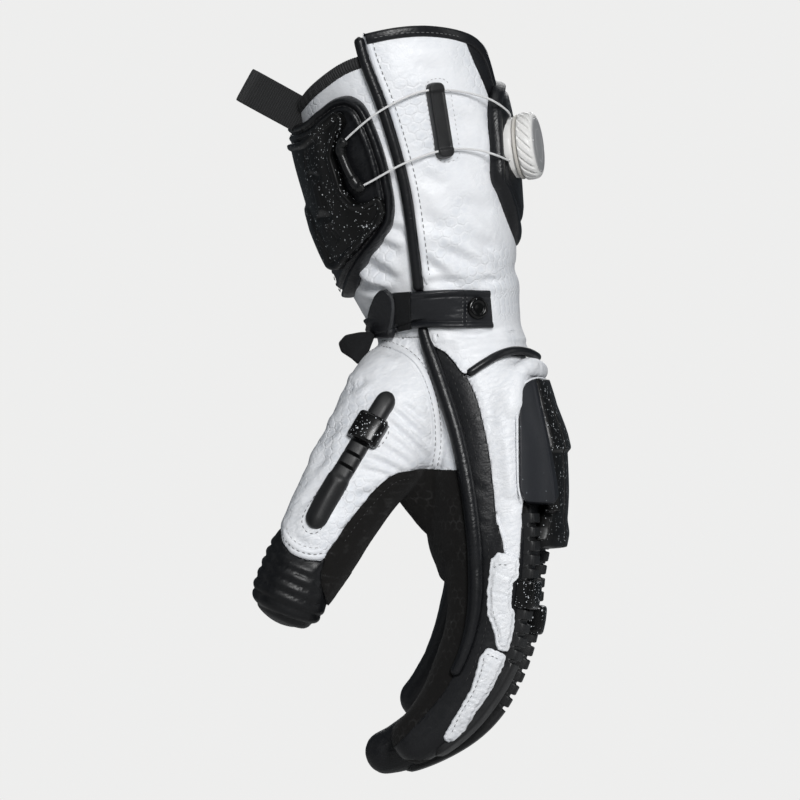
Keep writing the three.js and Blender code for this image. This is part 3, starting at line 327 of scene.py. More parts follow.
def fans(rows, columns):
    """A fan of triangles at each end of a tube, round two points that follow its rows x columns points."""
    ring = np.arange(columns)
    after, tail, middle = np.roll(ring, -1), (rows - 1) * columns, rows * columns + 0 * ring
    return np.vstack([np.stack([middle, after, ring], -1), np.stack([middle + 1, tail + ring, tail + after], -1)])


def closed_rings(rings):
    """One closed surface through rings of points, with a fan at each end."""
    size = rings.shape[:2]
    points = np.vstack([rings.reshape(-1, 3), rings[0].mean(0), rings[-1].mean(0)])
    faces = np.vstack([triangles(grid_faces(*size, wrap=True)), fans(*size)[:, [0, 2, 1]]])
    return points, outward(points, faces)


def mesh_of(name, points, faces, uv=None):
    """A Blender mesh from points in millimetres and one array of faces, with a UV map from a pair of
    numbers per point or per face corner."""
    mesh = bpy.data.meshes.new(name)
    points, faces = np.asarray(points, float), np.asarray(faces, int)
    mesh.vertices.add(len(points))
    mesh.vertices.foreach_set("co", (points * MM).ravel())
    mesh.loops.add(faces.size)
    mesh.loops.foreach_set("vertex_index", faces.ravel())
    mesh.polygons.add(len(faces))
    mesh.polygons.foreach_set("loop_start", np.arange(0, faces.size, faces.shape[1]))
    mesh.polygons.foreach_set("use_smooth", np.ones(len(faces), bool))
    mesh.update(calc_edges=True)
    mesh.validate()
    if uv is not None:
        pairs = uv if len(uv) == faces.size else np.asarray(uv)[faces.ravel()]
        mesh.uv_layers.new(name="pattern").data.foreach_set("uv", np.asarray(pairs, float).ravel())
    return mesh


def arrays_of(mesh):
    """A Blender mesh's points in millimetres, and its triangles."""
    points = np.empty(len(mesh.vertices) * 3)
    mesh.vertices.foreach_get("co", points)
    mesh.calc_loop_triangles()
    sides = np.empty(len(mesh.loop_triangles) * 3, dtype=np.int32)
    mesh.loop_triangles.foreach_get("vertices", sides)
    return points.reshape(-1, 3) / MM, sides.reshape(-1, 3).astype(int)


def together(parts):
    """Several (points, faces) as one."""
    starts = np.cumsum([0] + [len(points) for points, _ in parts])
    return np.vstack([points for points, _ in parts]), np.vstack([f + n for (_, f), n in zip(parts, starts)])


def run_of(path):
    """Length along the path, from 0, at each of its points."""
    return np.r_[0, np.cumsum(np.linalg.norm(np.diff(path, axis=0), axis=1))]


def taken(values, run, at):
    """The rows of values, which belong to the lengths run, read off at other lengths."""
    return np.stack([np.interp(at, run, values[:, k]) for k in range(values.shape[1])], -1)


def resample(path, count=None, step=None):
    """The path as evenly spaced points along a smooth curve through its points."""
    path = np.asarray(path, float)
    fine = rows_at(path, np.linspace(0, len(path) - 1, 24 * len(path)))
    run = run_of(fine)
    count = count or max(2, int(round(run[-1] / step)) + 1)
    return taken(fine, run, np.linspace(0, run[-1], count))


def unit(vectors):
    """Vectors of length one."""
    return vectors / np.maximum(np.linalg.norm(vectors, axis=-1, keepdims=True), 1e-9)


def frames(path, up=None):
    """Up and across at each point of a path. up is given, or carried along so that it never twists."""
    along = unit(np.gradient(path, axis=0))
    if up is None:
        u = unit(np.cross(along[0], [0.3, 0.9, 0.2]))
        ups = []
        for t in along:
            u = unit(u - t * (u @ t))
            ups.append(u)
        up = np.array(ups)
    up = unit(up - along * np.sum(up * along, 1, keepdims=True))
    return up, np.cross(along, up)


def sweep(path, profile, up=None, scale=1.0):
    """A profile (across, up) in millimetres carried along a path: point + across * a + up * b, with flat
    ends. scale multiplies the profile at each point."""
    path = np.asarray(path, float)
    ups, across = frames(path, up)
    size = np.broadcast_to(scale, len(path))[:, None, None]
    a, b = np.asarray(profile, float).T[:, None, :, None]
    points = path[:, None] + across[:, None] * (a * size) + ups[:, None] * (b * size)
    grid = grid_faces(*points.shape[:2], wrap=True)[:, ::-1]
    faces = np.vstack([triangles(grid), fans(*points.shape[:2])])
    return np.vstack([points.reshape(-1, 3), path[:1], path[-1:]]), faces


def round_the_tube(run, count, width):
    """UV for a swept tube: the length along it, and the way round it up to width, both in millimetres."""
    around = np.r_[np.tile(np.arange(count), len(run)), 0, 0] * (width / count)
    return np.stack([np.r_[np.repeat(run, count), 0, run[-1]], around], -1)


def circle(radius, count=16, flatten=1.0):
    """A round profile; flatten squashes it upwards."""
    t = np.linspace(0, 2 * np.pi, count, endpoint=False)
    return np.stack([radius * np.cos(t), radius * flatten * np.sin(t)], -1)


print("tools ready")

# %% [markdown]
# Leather lies in regions with drawn borders. A region here is an outline in x and z, as seen from the
# thumb side. For every point of a surface the signed distance to the outline says whether the point is
# inside and how far from the seam it is, and a mesh is clipped where that distance passes zero.

# %% Signed distances and clipping
def from_outline(outline, x, z):
    """Distance to a closed outline, positive inside: the least distance to its sides, signed by counting
    how many sides a ray to the right crosses."""
    outline = np.asarray(outline, float)
    p = np.stack([x, z], -1)
    best = np.full(len(p), 1e9)
    crossed = np.zeros(len(p), bool)
    for a, b in zip(outline, np.roll(outline, -1, 0)):
        side = b - a
        length = side @ side
        if length < 1e-12:
            continue
        t = np.clip((p - a) @ side / length, 0, 1)
        best = np.minimum(best, np.sum((p - a - t[:, None] * side) ** 2, 1))
        if a[1] != b[1]:
            hit = (a[1] > p[:, 1]) != (b[1] > p[:, 1])
            crossed ^= hit & (p[:, 0] < a[0] + (p[:, 1] - a[1]) * side[0] / side[1])
    return np.where(crossed, 1, -1) * np.sqrt(best)


def clip(columns, faces, value, both=False):
    """Cuts a triangle mesh along value = 0 and keeps the part where value is positive, or both parts.
    columns holds any numbers per point, and a new point on a cut side takes the mix of its two ends."""
    inside = value > 0
    count = inside[faces].sum(1)
    old = start = len(columns)
    kept, pairs = [faces[(count == 3) | ((count == 0) & both)]], []
    for n, odd in ((1, True), (2, False)):
        part = faces[count == n]
        first = np.argmax(inside[part] == odd, axis=1)
        a, b, c = np.take_along_axis(part, (first[:, None] + np.arange(3)) % 3, axis=1).T
        pairs += [np.sort(np.stack([a, b], -1), 1), np.sort(np.stack([a, c], -1), 1)]
        ab = start + np.arange(len(a))
        ac = ab + len(a)
        start += 2 * len(a)
        if odd or both:
            kept.append(np.stack([a, ab, ac], -1))
        if both or not odd:
            kept += [np.stack([ab, b, c], -1), np.stack([ab, c, ac], -1)]
    faces = np.vstack(kept)
    unique, where = np.unique(np.vstack(pairs), axis=0, return_inverse=True)
    a, b = unique.T
    t = (value[a] / (value[a] - value[b]))[:, None]
    columns = np.vstack([columns, columns[a] * (1 - t) + columns[b] * t])
    faces = np.where(faces >= old, old + where.ravel()[np.maximum(faces - old, 0)], faces)
    used, faces = np.unique(proper(faces), return_inverse=True)
    return columns[used], faces.reshape(-1, 3)


def smoothstep(low, high, x):
    """0 below low, 1 above high, and a smooth cubic between."""
    t = np.clip((x - low) / (high - low), 0, 1)
    return t * t * (3 - 2 * t)


RANDOM = np.random.default_rng(7)


def make_waves(count, wavelength, spread):
    """Random plane waves for soft noise: directions, wave numbers and phases."""
    direction = unit(RANDOM.normal(size=(count, 3)))
    number = 2 * np.pi / (wavelength * np.exp(RANDOM.normal(size=(count, 1)) * spread))
    return direction * number, RANDOM.uniform(0, 2 * np.pi, count)


def noise(points, waves):
    """Soft noise near -1 to 1: the mean of sines along random directions, scaled up."""
    vectors, phases = waves
    return np.sin(points @ vectors.T + phases).sum(1) / np.sqrt(len(phases) / 2) / 1.6


print("clipping ready")

# %% [markdown]
# Materials come first, so that each piece can be dressed as it is made. Leather is a grain of tiny
# cells, a few longer creases and a soft variation of tone. The white leather also has a faint honeycomb
# printed on it. Everything is worked out from a point's own place or its own UV map, in millimetres.

# %% A small language for shader nodes
class Shader:
    """A material under construction: each method adds a node and returns its output."""

    def __init__(self, name):
        self.material = bpy.data.materials.new(name)
        self.material.use_nodes = True
        self.tree = self.material.node_tree

    def feed(self, socket, value):
        """Links value to the socket if it comes from another node, or else sets it there."""
        if isinstance(value, bpy.types.NodeSocket):
            self.tree.links.new(value, socket)
        else:
            socket.default_value = value

    def node(self, kind, inputs=(), **settings):
        made = self.tree.nodes.new("ShaderNode" + kind)
        for key, value in settings.items():
            setattr(made, key, value)
        for key, value in dict(inputs).items():
            self.feed(made.inputs[key], value)
        return made

    def place(self):
        """The point's place on the object, in millimetres."""
        where = self.node("TexCoord").outputs["Object"]
        return self.node("VectorMath", {0: where, "Scale": 1 / MM}, operation="SCALE").outputs[0]

    def uv(self):
        """The piece's own UV map, drawn in millimetres."""
        return self.node("UVMap", uv_map="pattern").outputs["UV"]

    def math(self, operation, a, b=0.0):
        return self.node("Math", {0: a, 1: b, 2: 0.0}, operation=operation).outputs[0]

    def times(self, a, b):
        return self.math("MULTIPLY", a, b)

    def plus(self, a, b):
        return self.math("ADD", a, b)

    def less(self, a, b):
        """1 where a is less than b, else 0."""
        return self.math("LESS_THAN", a, b)

    def vector(self, operation, a, b=(0, 0, 0)):
        return self.node("VectorMath", {0: a, 1: b}, operation=operation).outputs["Vector"]

    def noise(self, where, size, detail=3.0, roughness=0.55):
        """Cloudy noise from 0 to 1 whose lumps are about size millimetres wide."""
        return self.node("TexNoise", {"Vector": where, "Scale": 1 / size, "Detail": detail, "Roughness": roughness,
                                      "Distortion": 0.0}).outputs["Fac"]

    def cells(self, where, size, feature="F1"):
        """The distance to the nearest of scattered points about size millimetres apart."""
        return self.node("TexVoronoi", {"Vector": where, "Scale": 1 / size, "Randomness": 1.0},
                         feature=feature).outputs["Distance"]

    def scatter(self, where, size):
        """The same distance, and two random numbers that belong to the nearest point."""
        spots = self.node("TexVoronoi", {"Vector": where, "Scale": 1 / size}).outputs
        return (spots["Distance"], *self.node("SeparateColor", {0: spots["Color"]}).outputs[:2])

    def ramp(self, value, low, high, start=0.0, end=1.0):
        """start below low, end above high, and straight between."""
        return self.node("MapRange", {"Value": value, "From Min": low, "From Max": high,
                                      "To Min": start, "To Max": end}).outputs["Result"]

    def mix(self, kind, share, a, b):
        """a where share is 0, b where it is 1; kind says whether they are vectors or colours."""
        made = self.node("Mix", data_type=kind)
        first, result = {"VECTOR": (4, 1), "RGBA": (6, 2)}[kind]
        for index, value in zip((0, first, first + 1), (share, a, b)):
            self.feed(made.inputs[index], value)
        return made.outputs[result]

    def blend(self, share, a, b):
        """Colour a where share is 0 and b where it is 1."""
        return self.mix("RGBA", share, a, b)

    def bump(self, height, depth, normal=None):
        """A normal tilted by the slope of height, whose full range stands depth millimetres tall."""
        under = {} if normal is None else {"Normal": normal}
        tilt = self.node("Bump", {"Height": height, "Strength": 1.0, "Distance": depth * MM, **under})
        return tilt.outputs["Normal"]

    def set(self, **values):
        """Plain numbers and links on the surface's own sockets; returns the finished material."""
        for key, value in values.items():
            self.feed(self.tree.nodes["Principled BSDF"].inputs[key.replace("_", " ")], value)
        return self.material


def grey(value, blue=0.0):
    """A neutral colour, with a little more or less blue."""
    return (value, value * (1 + blue * 0.3), value * (1 + blue), 1)


print("shader tools ready")

# %% [markdown]
# The honeycomb: two shifted square lattices with the sides of a hexagon between them. Each point takes
# the nearer lattice point, and the distance to that point, measured across the hexagon's flats, is one
# half on the edge. The pattern fades in and out, as a light emboss does where leather is stretched.

# %% White leather
def honeycomb(s, where, size):
    """0 in a hexagon's middle and 0.5 on its edge, for hexagons size millimetres across."""
    p = s.node("VectorMath", {0: where, "Scale": 1 / size}, operation="SCALE").outputs[0]
    half, minus = (0.5, math.sqrt(3) / 2, 0.5), (-0.5, -math.sqrt(3) / 2, -0.5)
    a, b = (s.node("VectorMath", {0: q, 1: half, 2: minus}, operation="WRAP").outputs[0]
            for q in (p, s.vector("ADD", p, half)))
    near, far = (s.node("VectorMath", {0: s.vector("MULTIPLY", q, (1, 1, 0))}, operation="LENGTH").outputs["Value"]
                 for q in (a, b))
    q = s.vector("ABSOLUTE", s.mix("VECTOR", s.less(far, near), a, b))
    flat = s.node("SeparateXYZ", {0: q}).outputs
    return s.math("MAXIMUM", flat[0], s.plus(s.times(flat[0], 0.5), s.times(flat[1], math.sqrt(3) / 2)))


def wrinkles(s, p, lean, size):
    """The leather's drifting, leaning space, and the long flat wrinkle cells in it."""
    turned = s.node("VectorRotate", {"Vector": p, "Angle": lean}, rotation_type="Y_AXIS").outputs["Vector"]
    drift = s.node("TexNoise", {"Vector": p, "Scale": 1 / 5, "Detail": 2.0}).outputs["Color"]
    bent = s.vector("ADD", turned, s.vector("MULTIPLY", drift, (4.0, 4.0, 4.0)))
    return bent, s.cells(s.vector("MULTIPLY", bent, (0.34, 0.5, 1.0)), size)


def white_leather(name, hexagons, creases, grain=1.0):
    """White cowhide: fine grain cells, long flat wrinkle cells that lean, a faint grey honeycomb print, and
    painted shade: the colour turns a cool blue-grey in the wrinkle dips."""
    s = Shader(name)
    p = s.place()
    grains = s.cells(p, 0.75)
    bent, long_cells = wrinkles(s, p, 0.45, 1.25)
    wide_cells = s.cells(s.vector("MULTIPLY", bent, (0.45, 0.6, 1.0)), 3.1, feature="SMOOTH_F1")
    calm = s.ramp(s.noise(p, 14, 2), 0.36, 0.62, 0.25, 1.0)
    cloud = s.noise(p, 16, 2)
    patch = s.ramp(s.noise(p, 20, 1), 0.42, 0.6)
    hexa = honeycomb(s, s.uv(), 4.3)
    rim = s.ramp(hexa, 0.38, 0.47)
    cell_tone = s.times(s.ramp(hexa, 0.1, 0.45, 1.0, 0.25), patch)
    shade = s.times(cell_tone, 0.15 * hexagons)
    dirt = s.times(s.ramp(cloud, 0.35, 0.75), 0.07)
    # painted shade in the creases: the colour darkens where the long wrinkle cells lie
    valley = s.times(s.ramp(long_cells, 0.35, 0.8), 0.09 * creases)
    dark = s.plus(s.plus(shade, dirt), valley)
    # the dark share adds the honeycomb print's grey, random darker clouds and the painted crease shade, all towards a
    # cool blue-grey
    colour = s.blend(dark, grey(0.86, 0.035), (0.28, 0.35, 0.45, 1))
    normal = s.bump(s.times(grains, -grain), 0.05)
    normal = s.bump(s.times(s.times(long_cells, calm), -creases), 0.26, normal)
    normal = s.bump(s.times(s.times(wide_cells, calm), -creases), 0.34, normal)
    normal = s.bump(s.times(s.times(rim, patch), -hexagons), 0.14, normal)
    rough = s.ramp(s.noise(p, 3.0, 3), 0.3, 0.7, 0.38, 0.52)
    return s.set(Base_Color=colour, Roughness=rough, Normal=normal, Specular_IOR_Level=0.42)


WHITE_PRINTED = white_leather("white_leather_printed", hexagons=1.0, creases=0.45)
WHITE_THUMB = white_leather("white_leather_thumb", hexagons=1.25, creases=1.0)
WHITE_WRINKLED = white_leather("white_leather_wrinkled", hexagons=0.0, creases=1.1, grain=1.2)
print("white leather made")

# %% [markdown]
# The black pieces differ mostly in how they shine. Smooth leather has a satin gloss broken by its grain,
# suede and the palm's cloth swallow light, moulded rubber is a dull dark grey, and the guards are
# lacquered and flicked with white paint: a few big drops, many small ones, in drifts.

# %% Black leather, suede, rubber and lacquer
def black_leather(name, rough, grain, creases=0.6, tone=0.006):
    """Black leather: grain cells, fine leaning wrinkles and a gloss that varies from place to place."""
    s = Shader(name)
    p = s.place()
    grains = s.cells(p, 0.8)
    _, long_cells = wrinkles(s, p, 0.5, 1.2)
    calm = s.ramp(s.noise(p, 12, 2), 0.36, 0.62, 0.2, 1.0)
    colour = s.blend(s.noise(p, 9, 2), (tone * 0.8, tone * 0.85, tone, 1), (tone * 1.3, tone * 1.4, tone * 1.7, 1))
    normal = s.bump(s.times(grains, -grain), 0.05)
    normal = s.bump(s.times(s.times(long_cells, calm), -creases), 0.22, normal)
    gloss = s.ramp(s.noise(p, 2.5, 3), 0.3, 0.7, rough - 0.05, rough + 0.07)
    return s.set(Base_Color=colour, Roughness=gloss, Normal=normal, Specular_IOR_Level=0.33)


def suede(name, tone, nap):
    """Brushed leather: a soft nap without any shine."""
    s = Shader(name)
    p = s.place()
    height = s.plus(s.noise(p, 0.35, 3, 0.7), s.times(s.noise(p, 2.5, 3), 0.7))
    colour = s.blend(s.noise(p, 4, 4, 0.7), grey(tone * 0.7), grey(tone * 1.7, 0.12))
    normal = s.bump(height, 0.35 * nap)
    return s.set(Base_Color=colour, Roughness=0.9, Sheen_Weight=0.05, Sheen_Roughness=0.4, Specular_IOR_Level=0.12,
                 Normal=normal)


def printed_suede(name, tone=0.005):
    """Palm leather: brushed, with a print of small grey cells that is worn away in places."""
    s = Shader(name)
    p = s.place()
    hexa = honeycomb(s, s.uv(), 3.6)
    rim = s.times(s.ramp(hexa, 0.36, 0.44), s.ramp(s.noise(p, 8, 3, 0.7), 0.48, 0.66))
    dots = s.ramp(s.noise(p, 0.7, 2), 0.60, 0.70)
    base = s.blend(s.noise(p, 4, 4, 0.7), (tone * 1.1, tone, tone * 0.95, 1), (tone * 2.1, tone * 2.0, tone * 1.9, 1))
    colour = s.blend(s.times(rim, s.plus(0.25, s.times(dots, 0.5))), base, (0.06, 0.06, 0.06, 1))
    normal = s.bump(s.noise(p, 0.35, 3, 0.7), 0.16)
    normal = s.bump(s.times(rim, -1.0), 0.12, normal)
    return s.set(Base_Color=colour, Roughness=0.88, Sheen_Weight=0.05, Specular_IOR_Level=0.15, Normal=normal)


def rubber(name, tone=0.009, rough=0.42):
    """Moulded rubber: dull, with a fine spark-eroded texture from its mould."""
    s = Shader(name)
    p = s.place()
    normal = s.bump(s.noise(p, 0.3, 2), 0.05)
    colour = s.blend(s.noise(p, 6, 3), grey(tone * 0.8, 0.06), grey(tone * 1.3, 0.12))
    gloss = s.ramp(s.noise(p, 5, 3), 0.3, 0.7, rough - 0.05, rough + 0.08)
    return s.set(Base_Color=colour, Roughness=gloss, Normal=normal, Specular_IOR_Level=0.4)


def speckled_rubber(name, tone=0.012):
    """The guard's dull blue-grey side: moulded rubber with a few small flecks of paint."""
    s = Shader(name)
    p = s.place()
    away, size, chance = s.scatter(p, 2.6)
    fleck = s.less(away, s.times(size, 0.12))
    fleck = s.times(fleck, s.less(chance, s.ramp(s.noise(p, 10, 1), 0.4, 0.65, 0.05, 0.6)))
    dark, light = (tone * 0.8, tone * 0.9, tone * 1.15, 1), (tone * 1.15, tone * 1.3, tone * 1.7, 1)
    base = s.blend(s.noise(p, 7, 3), dark, light)
    colour = s.blend(s.times(fleck, 0.6), base, (0.5, 0.55, 0.6, 1))
    normal = s.bump(s.noise(p, 0.3, 2), 0.03)
    return s.set(Base_Color=colour, Roughness=0.47, Normal=normal, Specular_IOR_Level=0.4)


def lacquer(name, drops, rough=0.15):
    """Black lacquer with flicked paint: in each cell of a scatter a drop of its own size, or none."""
    s = Shader(name)
    p = s.place()
    drift = s.noise(p, 12, 2)
    paint = None
    for size, widest, most in ((4.2, 0.11, 0.62), (2.4, 0.15, 0.55), (1.5, 0.20, 0.55), (0.9, 0.26, 0.5)):
        away, reach, chance = s.scatter(s.vector("MULTIPLY", p, (1, 1, 0.9)), size)
        here = s.less(chance, s.ramp(drift, 0.3, 0.6, 0.16 * drops, most * drops))
        drop = s.times(s.less(away, s.times(reach, widest)), here)
        paint = drop if paint is None else s.math("MAXIMUM", paint, drop)
    paint = s.times(paint, s.ramp(s.noise(p, 0.5, 2), 0.3, 0.6, 0.55, 1.0))
    colour = s.blend(paint, grey(0.003), (0.72, 0.75, 0.78, 1))
    normal = s.bump(s.noise(p, 0.9, 2), 0.02)
    normal = s.bump(paint, 0.06, normal)
    gloss = s.plus(s.ramp(s.noise(p, 6, 3), 0.3, 0.7, rough, rough + 0.08), s.times(paint, 0.2))
    return s.set(Base_Color=colour, Roughness=gloss, Normal=normal, Specular_IOR_Level=0.32)


BLACK_SMOOTH = black_leather("black_leather_smooth", 0.34, 0.8)
BLACK_SIDE = black_leather("black_leather_side", 0.42, 1.0, 0.8)
BLACK_PANEL = black_leather("black_leather_panel", 0.38, 0.7, 0.5)
BLACK_STRAP = black_leather("black_leather_strap", 0.38, 0.7, tone=0.010)
RIBBED_BLACK = black_leather("ribbed_leather", 0.40, 0.5, 0.1, 0.004)
SUEDE_EDGE = suede("suede_edge", tone=0.012, nap=1.0)
RAW_EDGE = suede("raw_edge", tone=0.05, nap=1.2)
PALM_PRINT = printed_suede("palm_print")
LINING = suede("lining", tone=0.02, nap=0.6)
RUBBER = rubber("rubber")
HOOK_PLASTIC = rubber("hook_plastic", tone=0.006, rough=0.28)
GUARD_RUBBER = speckled_rubber("guard_rubber")
LACQUER = lacquer("speckled_lacquer", drops=1.5, rough=0.32)
LACQUER_QUIET = lacquer("speckled_lacquer_quiet", drops=0.35)
LACQUER_FINE = lacquer("speckled_lacquer_fine", drops=2.6, rough=0.2)
print("black finishes made")

# %% [markdown]
# The dial is white moulded plastic with a satin grey cap, the lace a thin braid, and the pull loop a
# ribbed tape. The braid and the ribs follow the piece's own UV map: along it, and around or across it.

# %% Plastic, metal, lace, thread and tape
def white_plastic(name, tone=0.80, warm=0.02):
    """White nylon: even, slightly soft gloss."""
    s = Shader(name)
    p = s.place()
    colour = s.blend(s.noise(p, 8, 2), grey(tone, -warm), grey(tone * 0.9, -2 * warm))
    normal = s.bump(s.noise(p, 0.4, 2), 0.02)
    return s.set(Base_Color=colour, Roughness=0.34, Normal=normal)


def grey_cap(name):
    """Satin grey: brushed in rings is too fine to see, so only a soft streak shows."""
    s = Shader(name)
    p = s.place()
    streak = s.noise(s.vector("MULTIPLY", p, (3.0, 1.0, 0.35)), 1.2, 4, 0.7)
    colour = s.blend(streak, grey(0.34, 0.02), grey(0.52, 0.01))
    normal = s.bump(streak, 0.03)
    return s.set(Base_Color=colour, Metallic=0.25, Roughness=0.34, Normal=normal)


def braid(name, tone=0.85):
    """A braided cord: two sets of strands that cross, drawn by sines along and round it; its colour is darker
    between the strands, which is painted shade.
    """
    s = Shader(name)
    flat = s.node("SeparateXYZ", {0: s.uv()}).outputs
    waves = [s.math("SINE", s.plus(s.times(flat[0], 6.5), s.times(flat[1], sign * 6.2832 * 2)))
             for sign in (1, -1)]
    strands = s.math("MAXIMUM", *waves)
    # painted shade: the colour is darker where the strands dip, between them
    colour = s.blend(s.ramp(strands, -0.2, 1.0), grey(tone * 0.75), grey(tone))
    return s.set(Base_Color=colour, Roughness=0.45, Normal=s.bump(strands, 0.05))


def tape(name, tone=0.010, rib=1.0):
    """Woven tape: ribs across it, with the finer threads of the weave along them; its colour is painted shade
    in the grooves and painted light on the ribs.
    """
    s = Shader(name)
    flat = s.node("SeparateXYZ", {0: s.uv()}).outputs
    ribs = s.math("SINE", s.times(flat[0], 2 * math.pi / rib))
    threads = s.math("SINE", s.times(flat[1], 2 * math.pi / 0.45))
    height = s.plus(ribs, s.times(threads, 0.25))
    # painted shade and painted light: the colour follows the weave's height, darker in the grooves, lighter on the
    # ribs
    colour = s.blend(s.ramp(height, -1, 1.2), grey(tone * 0.5), grey(tone * 2.0, 0.1))
    return s.set(Base_Color=colour, Roughness=0.72, Sheen_Weight=0.08, Normal=s.bump(height, 0.22))


def thread(name, tone):
    """Sewing thread, slightly waxed."""
    s = Shader(name)
    twist = s.noise(s.place(), 0.25, 2)
    colour = s.blend(twist, grey(tone * 0.7), grey(tone))
    return s.set(Base_Color=colour, Roughness=0.55, Normal=s.bump(twist, 0.05))


WHITE_PLASTIC = white_plastic("white_plastic")
CREAM_PLASTIC = white_plastic("cream_plastic", 0.62, 0.07)
GREY_CAP = grey_cap("grey_cap")
LACE_BRAID = braid("lace_braid")
LOOP_TAPE = tape("loop_tape")
BINDING_TAPE = tape("binding_tape", rib=1.15)
WHITE_THREAD = thread("white_thread", 0.62)
GREY_THREAD = thread("grey_thread", 0.16)
BLACK_THREAD = thread("black_thread", 0.03)
print("materials:", len(bpy.data.materials))

# %% [markdown]
# Every finished piece is put into the scene in one way: it rides on a body of the model, it stands for
# the solid that it dresses, and it is named for what it is.

# %% Putting a piece in the scene
PIECES = []


def piece(name, points, faces, material, stands_for=(), body="glove", uv=None, thickness=0.0, smooth_angle=None,
          fill=None):
    """Makes the object, gives it its material and, where asked, a wall of that thickness inwards."""
    mesh = mesh_of(name, points, faces, uv)
    made = add(name, mesh)
    mesh.materials.append(material)
    if thickness:
        mesh.materials.append(LINING)
        wall = made.modifiers.new("wall", "SOLIDIFY")
        wall.thickness, wall.offset, wall.use_even_offset = thickness * MM, -1, False
        wall.material_offset = wall.material_offset_rim = 1
    if smooth_angle is not None:
        mesh.set_sharp_from_angle(angle=math.radians(smooth_angle))
    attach(made, body)
    nodes = [stands_for] if isinstance(stands_for, str) else list(stands_for)
    for node in nodes:
        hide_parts(node)
    PIECES.append(made)


print("ready to make pieces")

# %% [markdown]
# The leather itself is one skin: seven tubes, for the hand, the thumb, four fingers and the web at the
# thumb's root, are fused by a voxel remesh and then smoothed, so that the thumb grows out of the hand as
# sewn leather does. The fingers are 0.8 mm narrower than their sections, which keeps daylight between them.

# %% One skin from seven tubes
VOXEL = 1.1


def closed_tube(table, cap, narrower=0.0, first=0, around=72, step=1.6):
    """A tube from row first past its last row to the tip of its dome, closed at both ends."""
    last = len(table) - 1
    length = run_of(table[:, :3])[-1] + MOUTH + cap
    v = np.r_[np.linspace(first, last, int(length / step)), last + np.linspace(0, 1, 9)[1:-1], last + 0.995]
    angle = np.linspace(0, 2 * np.pi, around, endpoint=False)
    return closed_rings(on_tube(table, cap, v[:, None], angle[None], 0.0, -narrower))


def fused(parts, voxel):
    """The outer surface of overlapping closed tubes, through Blender's voxel remesh."""
    scratch = add("scratch", mesh_of("scratch", *together(parts)))
    remesh = scratch.modifiers.new("voxels", "REMESH")
    remesh.mode, remesh.voxel_size = "VOXEL", voxel * MM
    ready = scratch.evaluated_get(bpy.context.evaluated_depsgraph_get())
    made = arrays_of(ready.to_mesh())
    ready.to_mesh_clear()
    bpy.data.objects.remove(scratch)
    return made


def smoothed(points, faces, rounds, strength=1.0):
    """Each point moves half way, times strength, to the mean of its neighbours, several times."""
    a, b = np.unique(np.sort(np.vstack([faces[:, [0, 1]], faces[:, [1, 2]], faces[:, [2, 0]]]), 1), axis=0).T
    near, far, size = np.r_[a, b], np.r_[b, a], len(points)
    count = np.bincount(near, minlength=size)[:, None]
    strength = np.broadcast_to(strength, size)[:, None]
    for _ in range(rounds):
        total = np.stack([np.bincount(near, weights=points[far, k], minlength=size) for k in range(3)], -1)
        points = points + (total / count - points) * 0.5 * strength
    return points


def normals_of(points, faces):
    """Outward direction at each point: the faces' normals, weighted by their size."""
    corner = points[faces]
    face = np.cross(corner[:, 1] - corner[:, 0], corner[:, 2] - corner[:, 0])
    total = np.stack([np.bincount(faces.ravel(), weights=np.repeat(face[:, k], 3), minlength=len(points))
                      for k in range(3)], -1)
    return unit(total)


WEB = np.array([  # the leather between the thumb's root and the palm
    [-17, -30, -60, 6, 7, 2.0, 0], [-10.6, -26, -70.6, 9.2, 8, 2.0, 0], [-4.4, -22, -78.6, 9.4, 8, 2.0, 0],
    [1.4, -18, -86.2, 8.5, 8, 2.0, 0], [9, -13, -97, 5, 6, 2.0, 0],
])
tubes = [closed_tube(HAND, CAPS["hand"], first=-1), closed_tube(THUMB, CAPS["thumb"])]
tubes += [closed_tube(rows, CAPS[name], narrower=0.8) for name, rows in FINGERS.items()]
skin, skin_faces = fused([*tubes, closed_tube(WEB, 3.0)], VOXEL)
skin = smoothed(skin, skin_faces, 5)
print("skin:", len(skin), "points,", len(skin_faces), "triangles")

# %% [markdown]
# A tube can be read backwards too: for any point, how far along the tube it is, at which angle round it,
# and how far outside it. That tells where the hand ends and the thumb and fingers begin, and it unrolls
# the surface like a label off a tin, which gives the leather's print a map in millimetres.

# %% Reading the tubes backwards
def unrolled(table, points, stations=90):
    """Length along the tube, angle round it, the parts towards the back and the side, how far past the
    last row, and the row: the station whose middle is nearest gives the frame."""
    v = np.linspace(0, len(table) - 1, stations)
    centre, along, back, side, row = section(table, v)
    run = run_of(centre)
    near = np.concatenate([np.argmin(((block[:, None] - centre[None]) ** 2).sum(-1), axis=1)
                           for block in np.array_split(points, max(1, len(points) // 20000))])
    q = points - centre[near]
    t = (q * along[near]).sum(-1)
    out, across = (q * back[near]).sum(-1), (q * side[near]).sum(-1)
    return run[near] + t, np.arctan2(across, out), out, across, np.where(near == stations - 1, t, 0), row[near]


def off_tube(table, cap, points):
    """About how far a point lies outside the tube: r (1 - 1 / F), where F is the superellipse's own
    measure, 1 on the surface, and beyond the last row the dome's."""
    _, _, out, across, past, row = unrolled(table, points)
    past, power = np.maximum(past, 0), row[:, 5]
    flat = (np.abs(out / row[:, 3]) ** power + np.abs(across / row[:, 4]) ** power) ** (1 / power)
    measure = np.sqrt(flat**2 + (past / cap) ** 2)
    size = np.sqrt(out**2 + across**2 + past**2)
    return size * (1 - 1 / np.maximum(measure, 1e-3))


def angle_map(table, points, radius):
    """UV in millimetres: angle times a mean radius, and the length along."""
    length, angle = unrolled(table, points)[:2]
    return np.stack([angle * radius, length], -1)


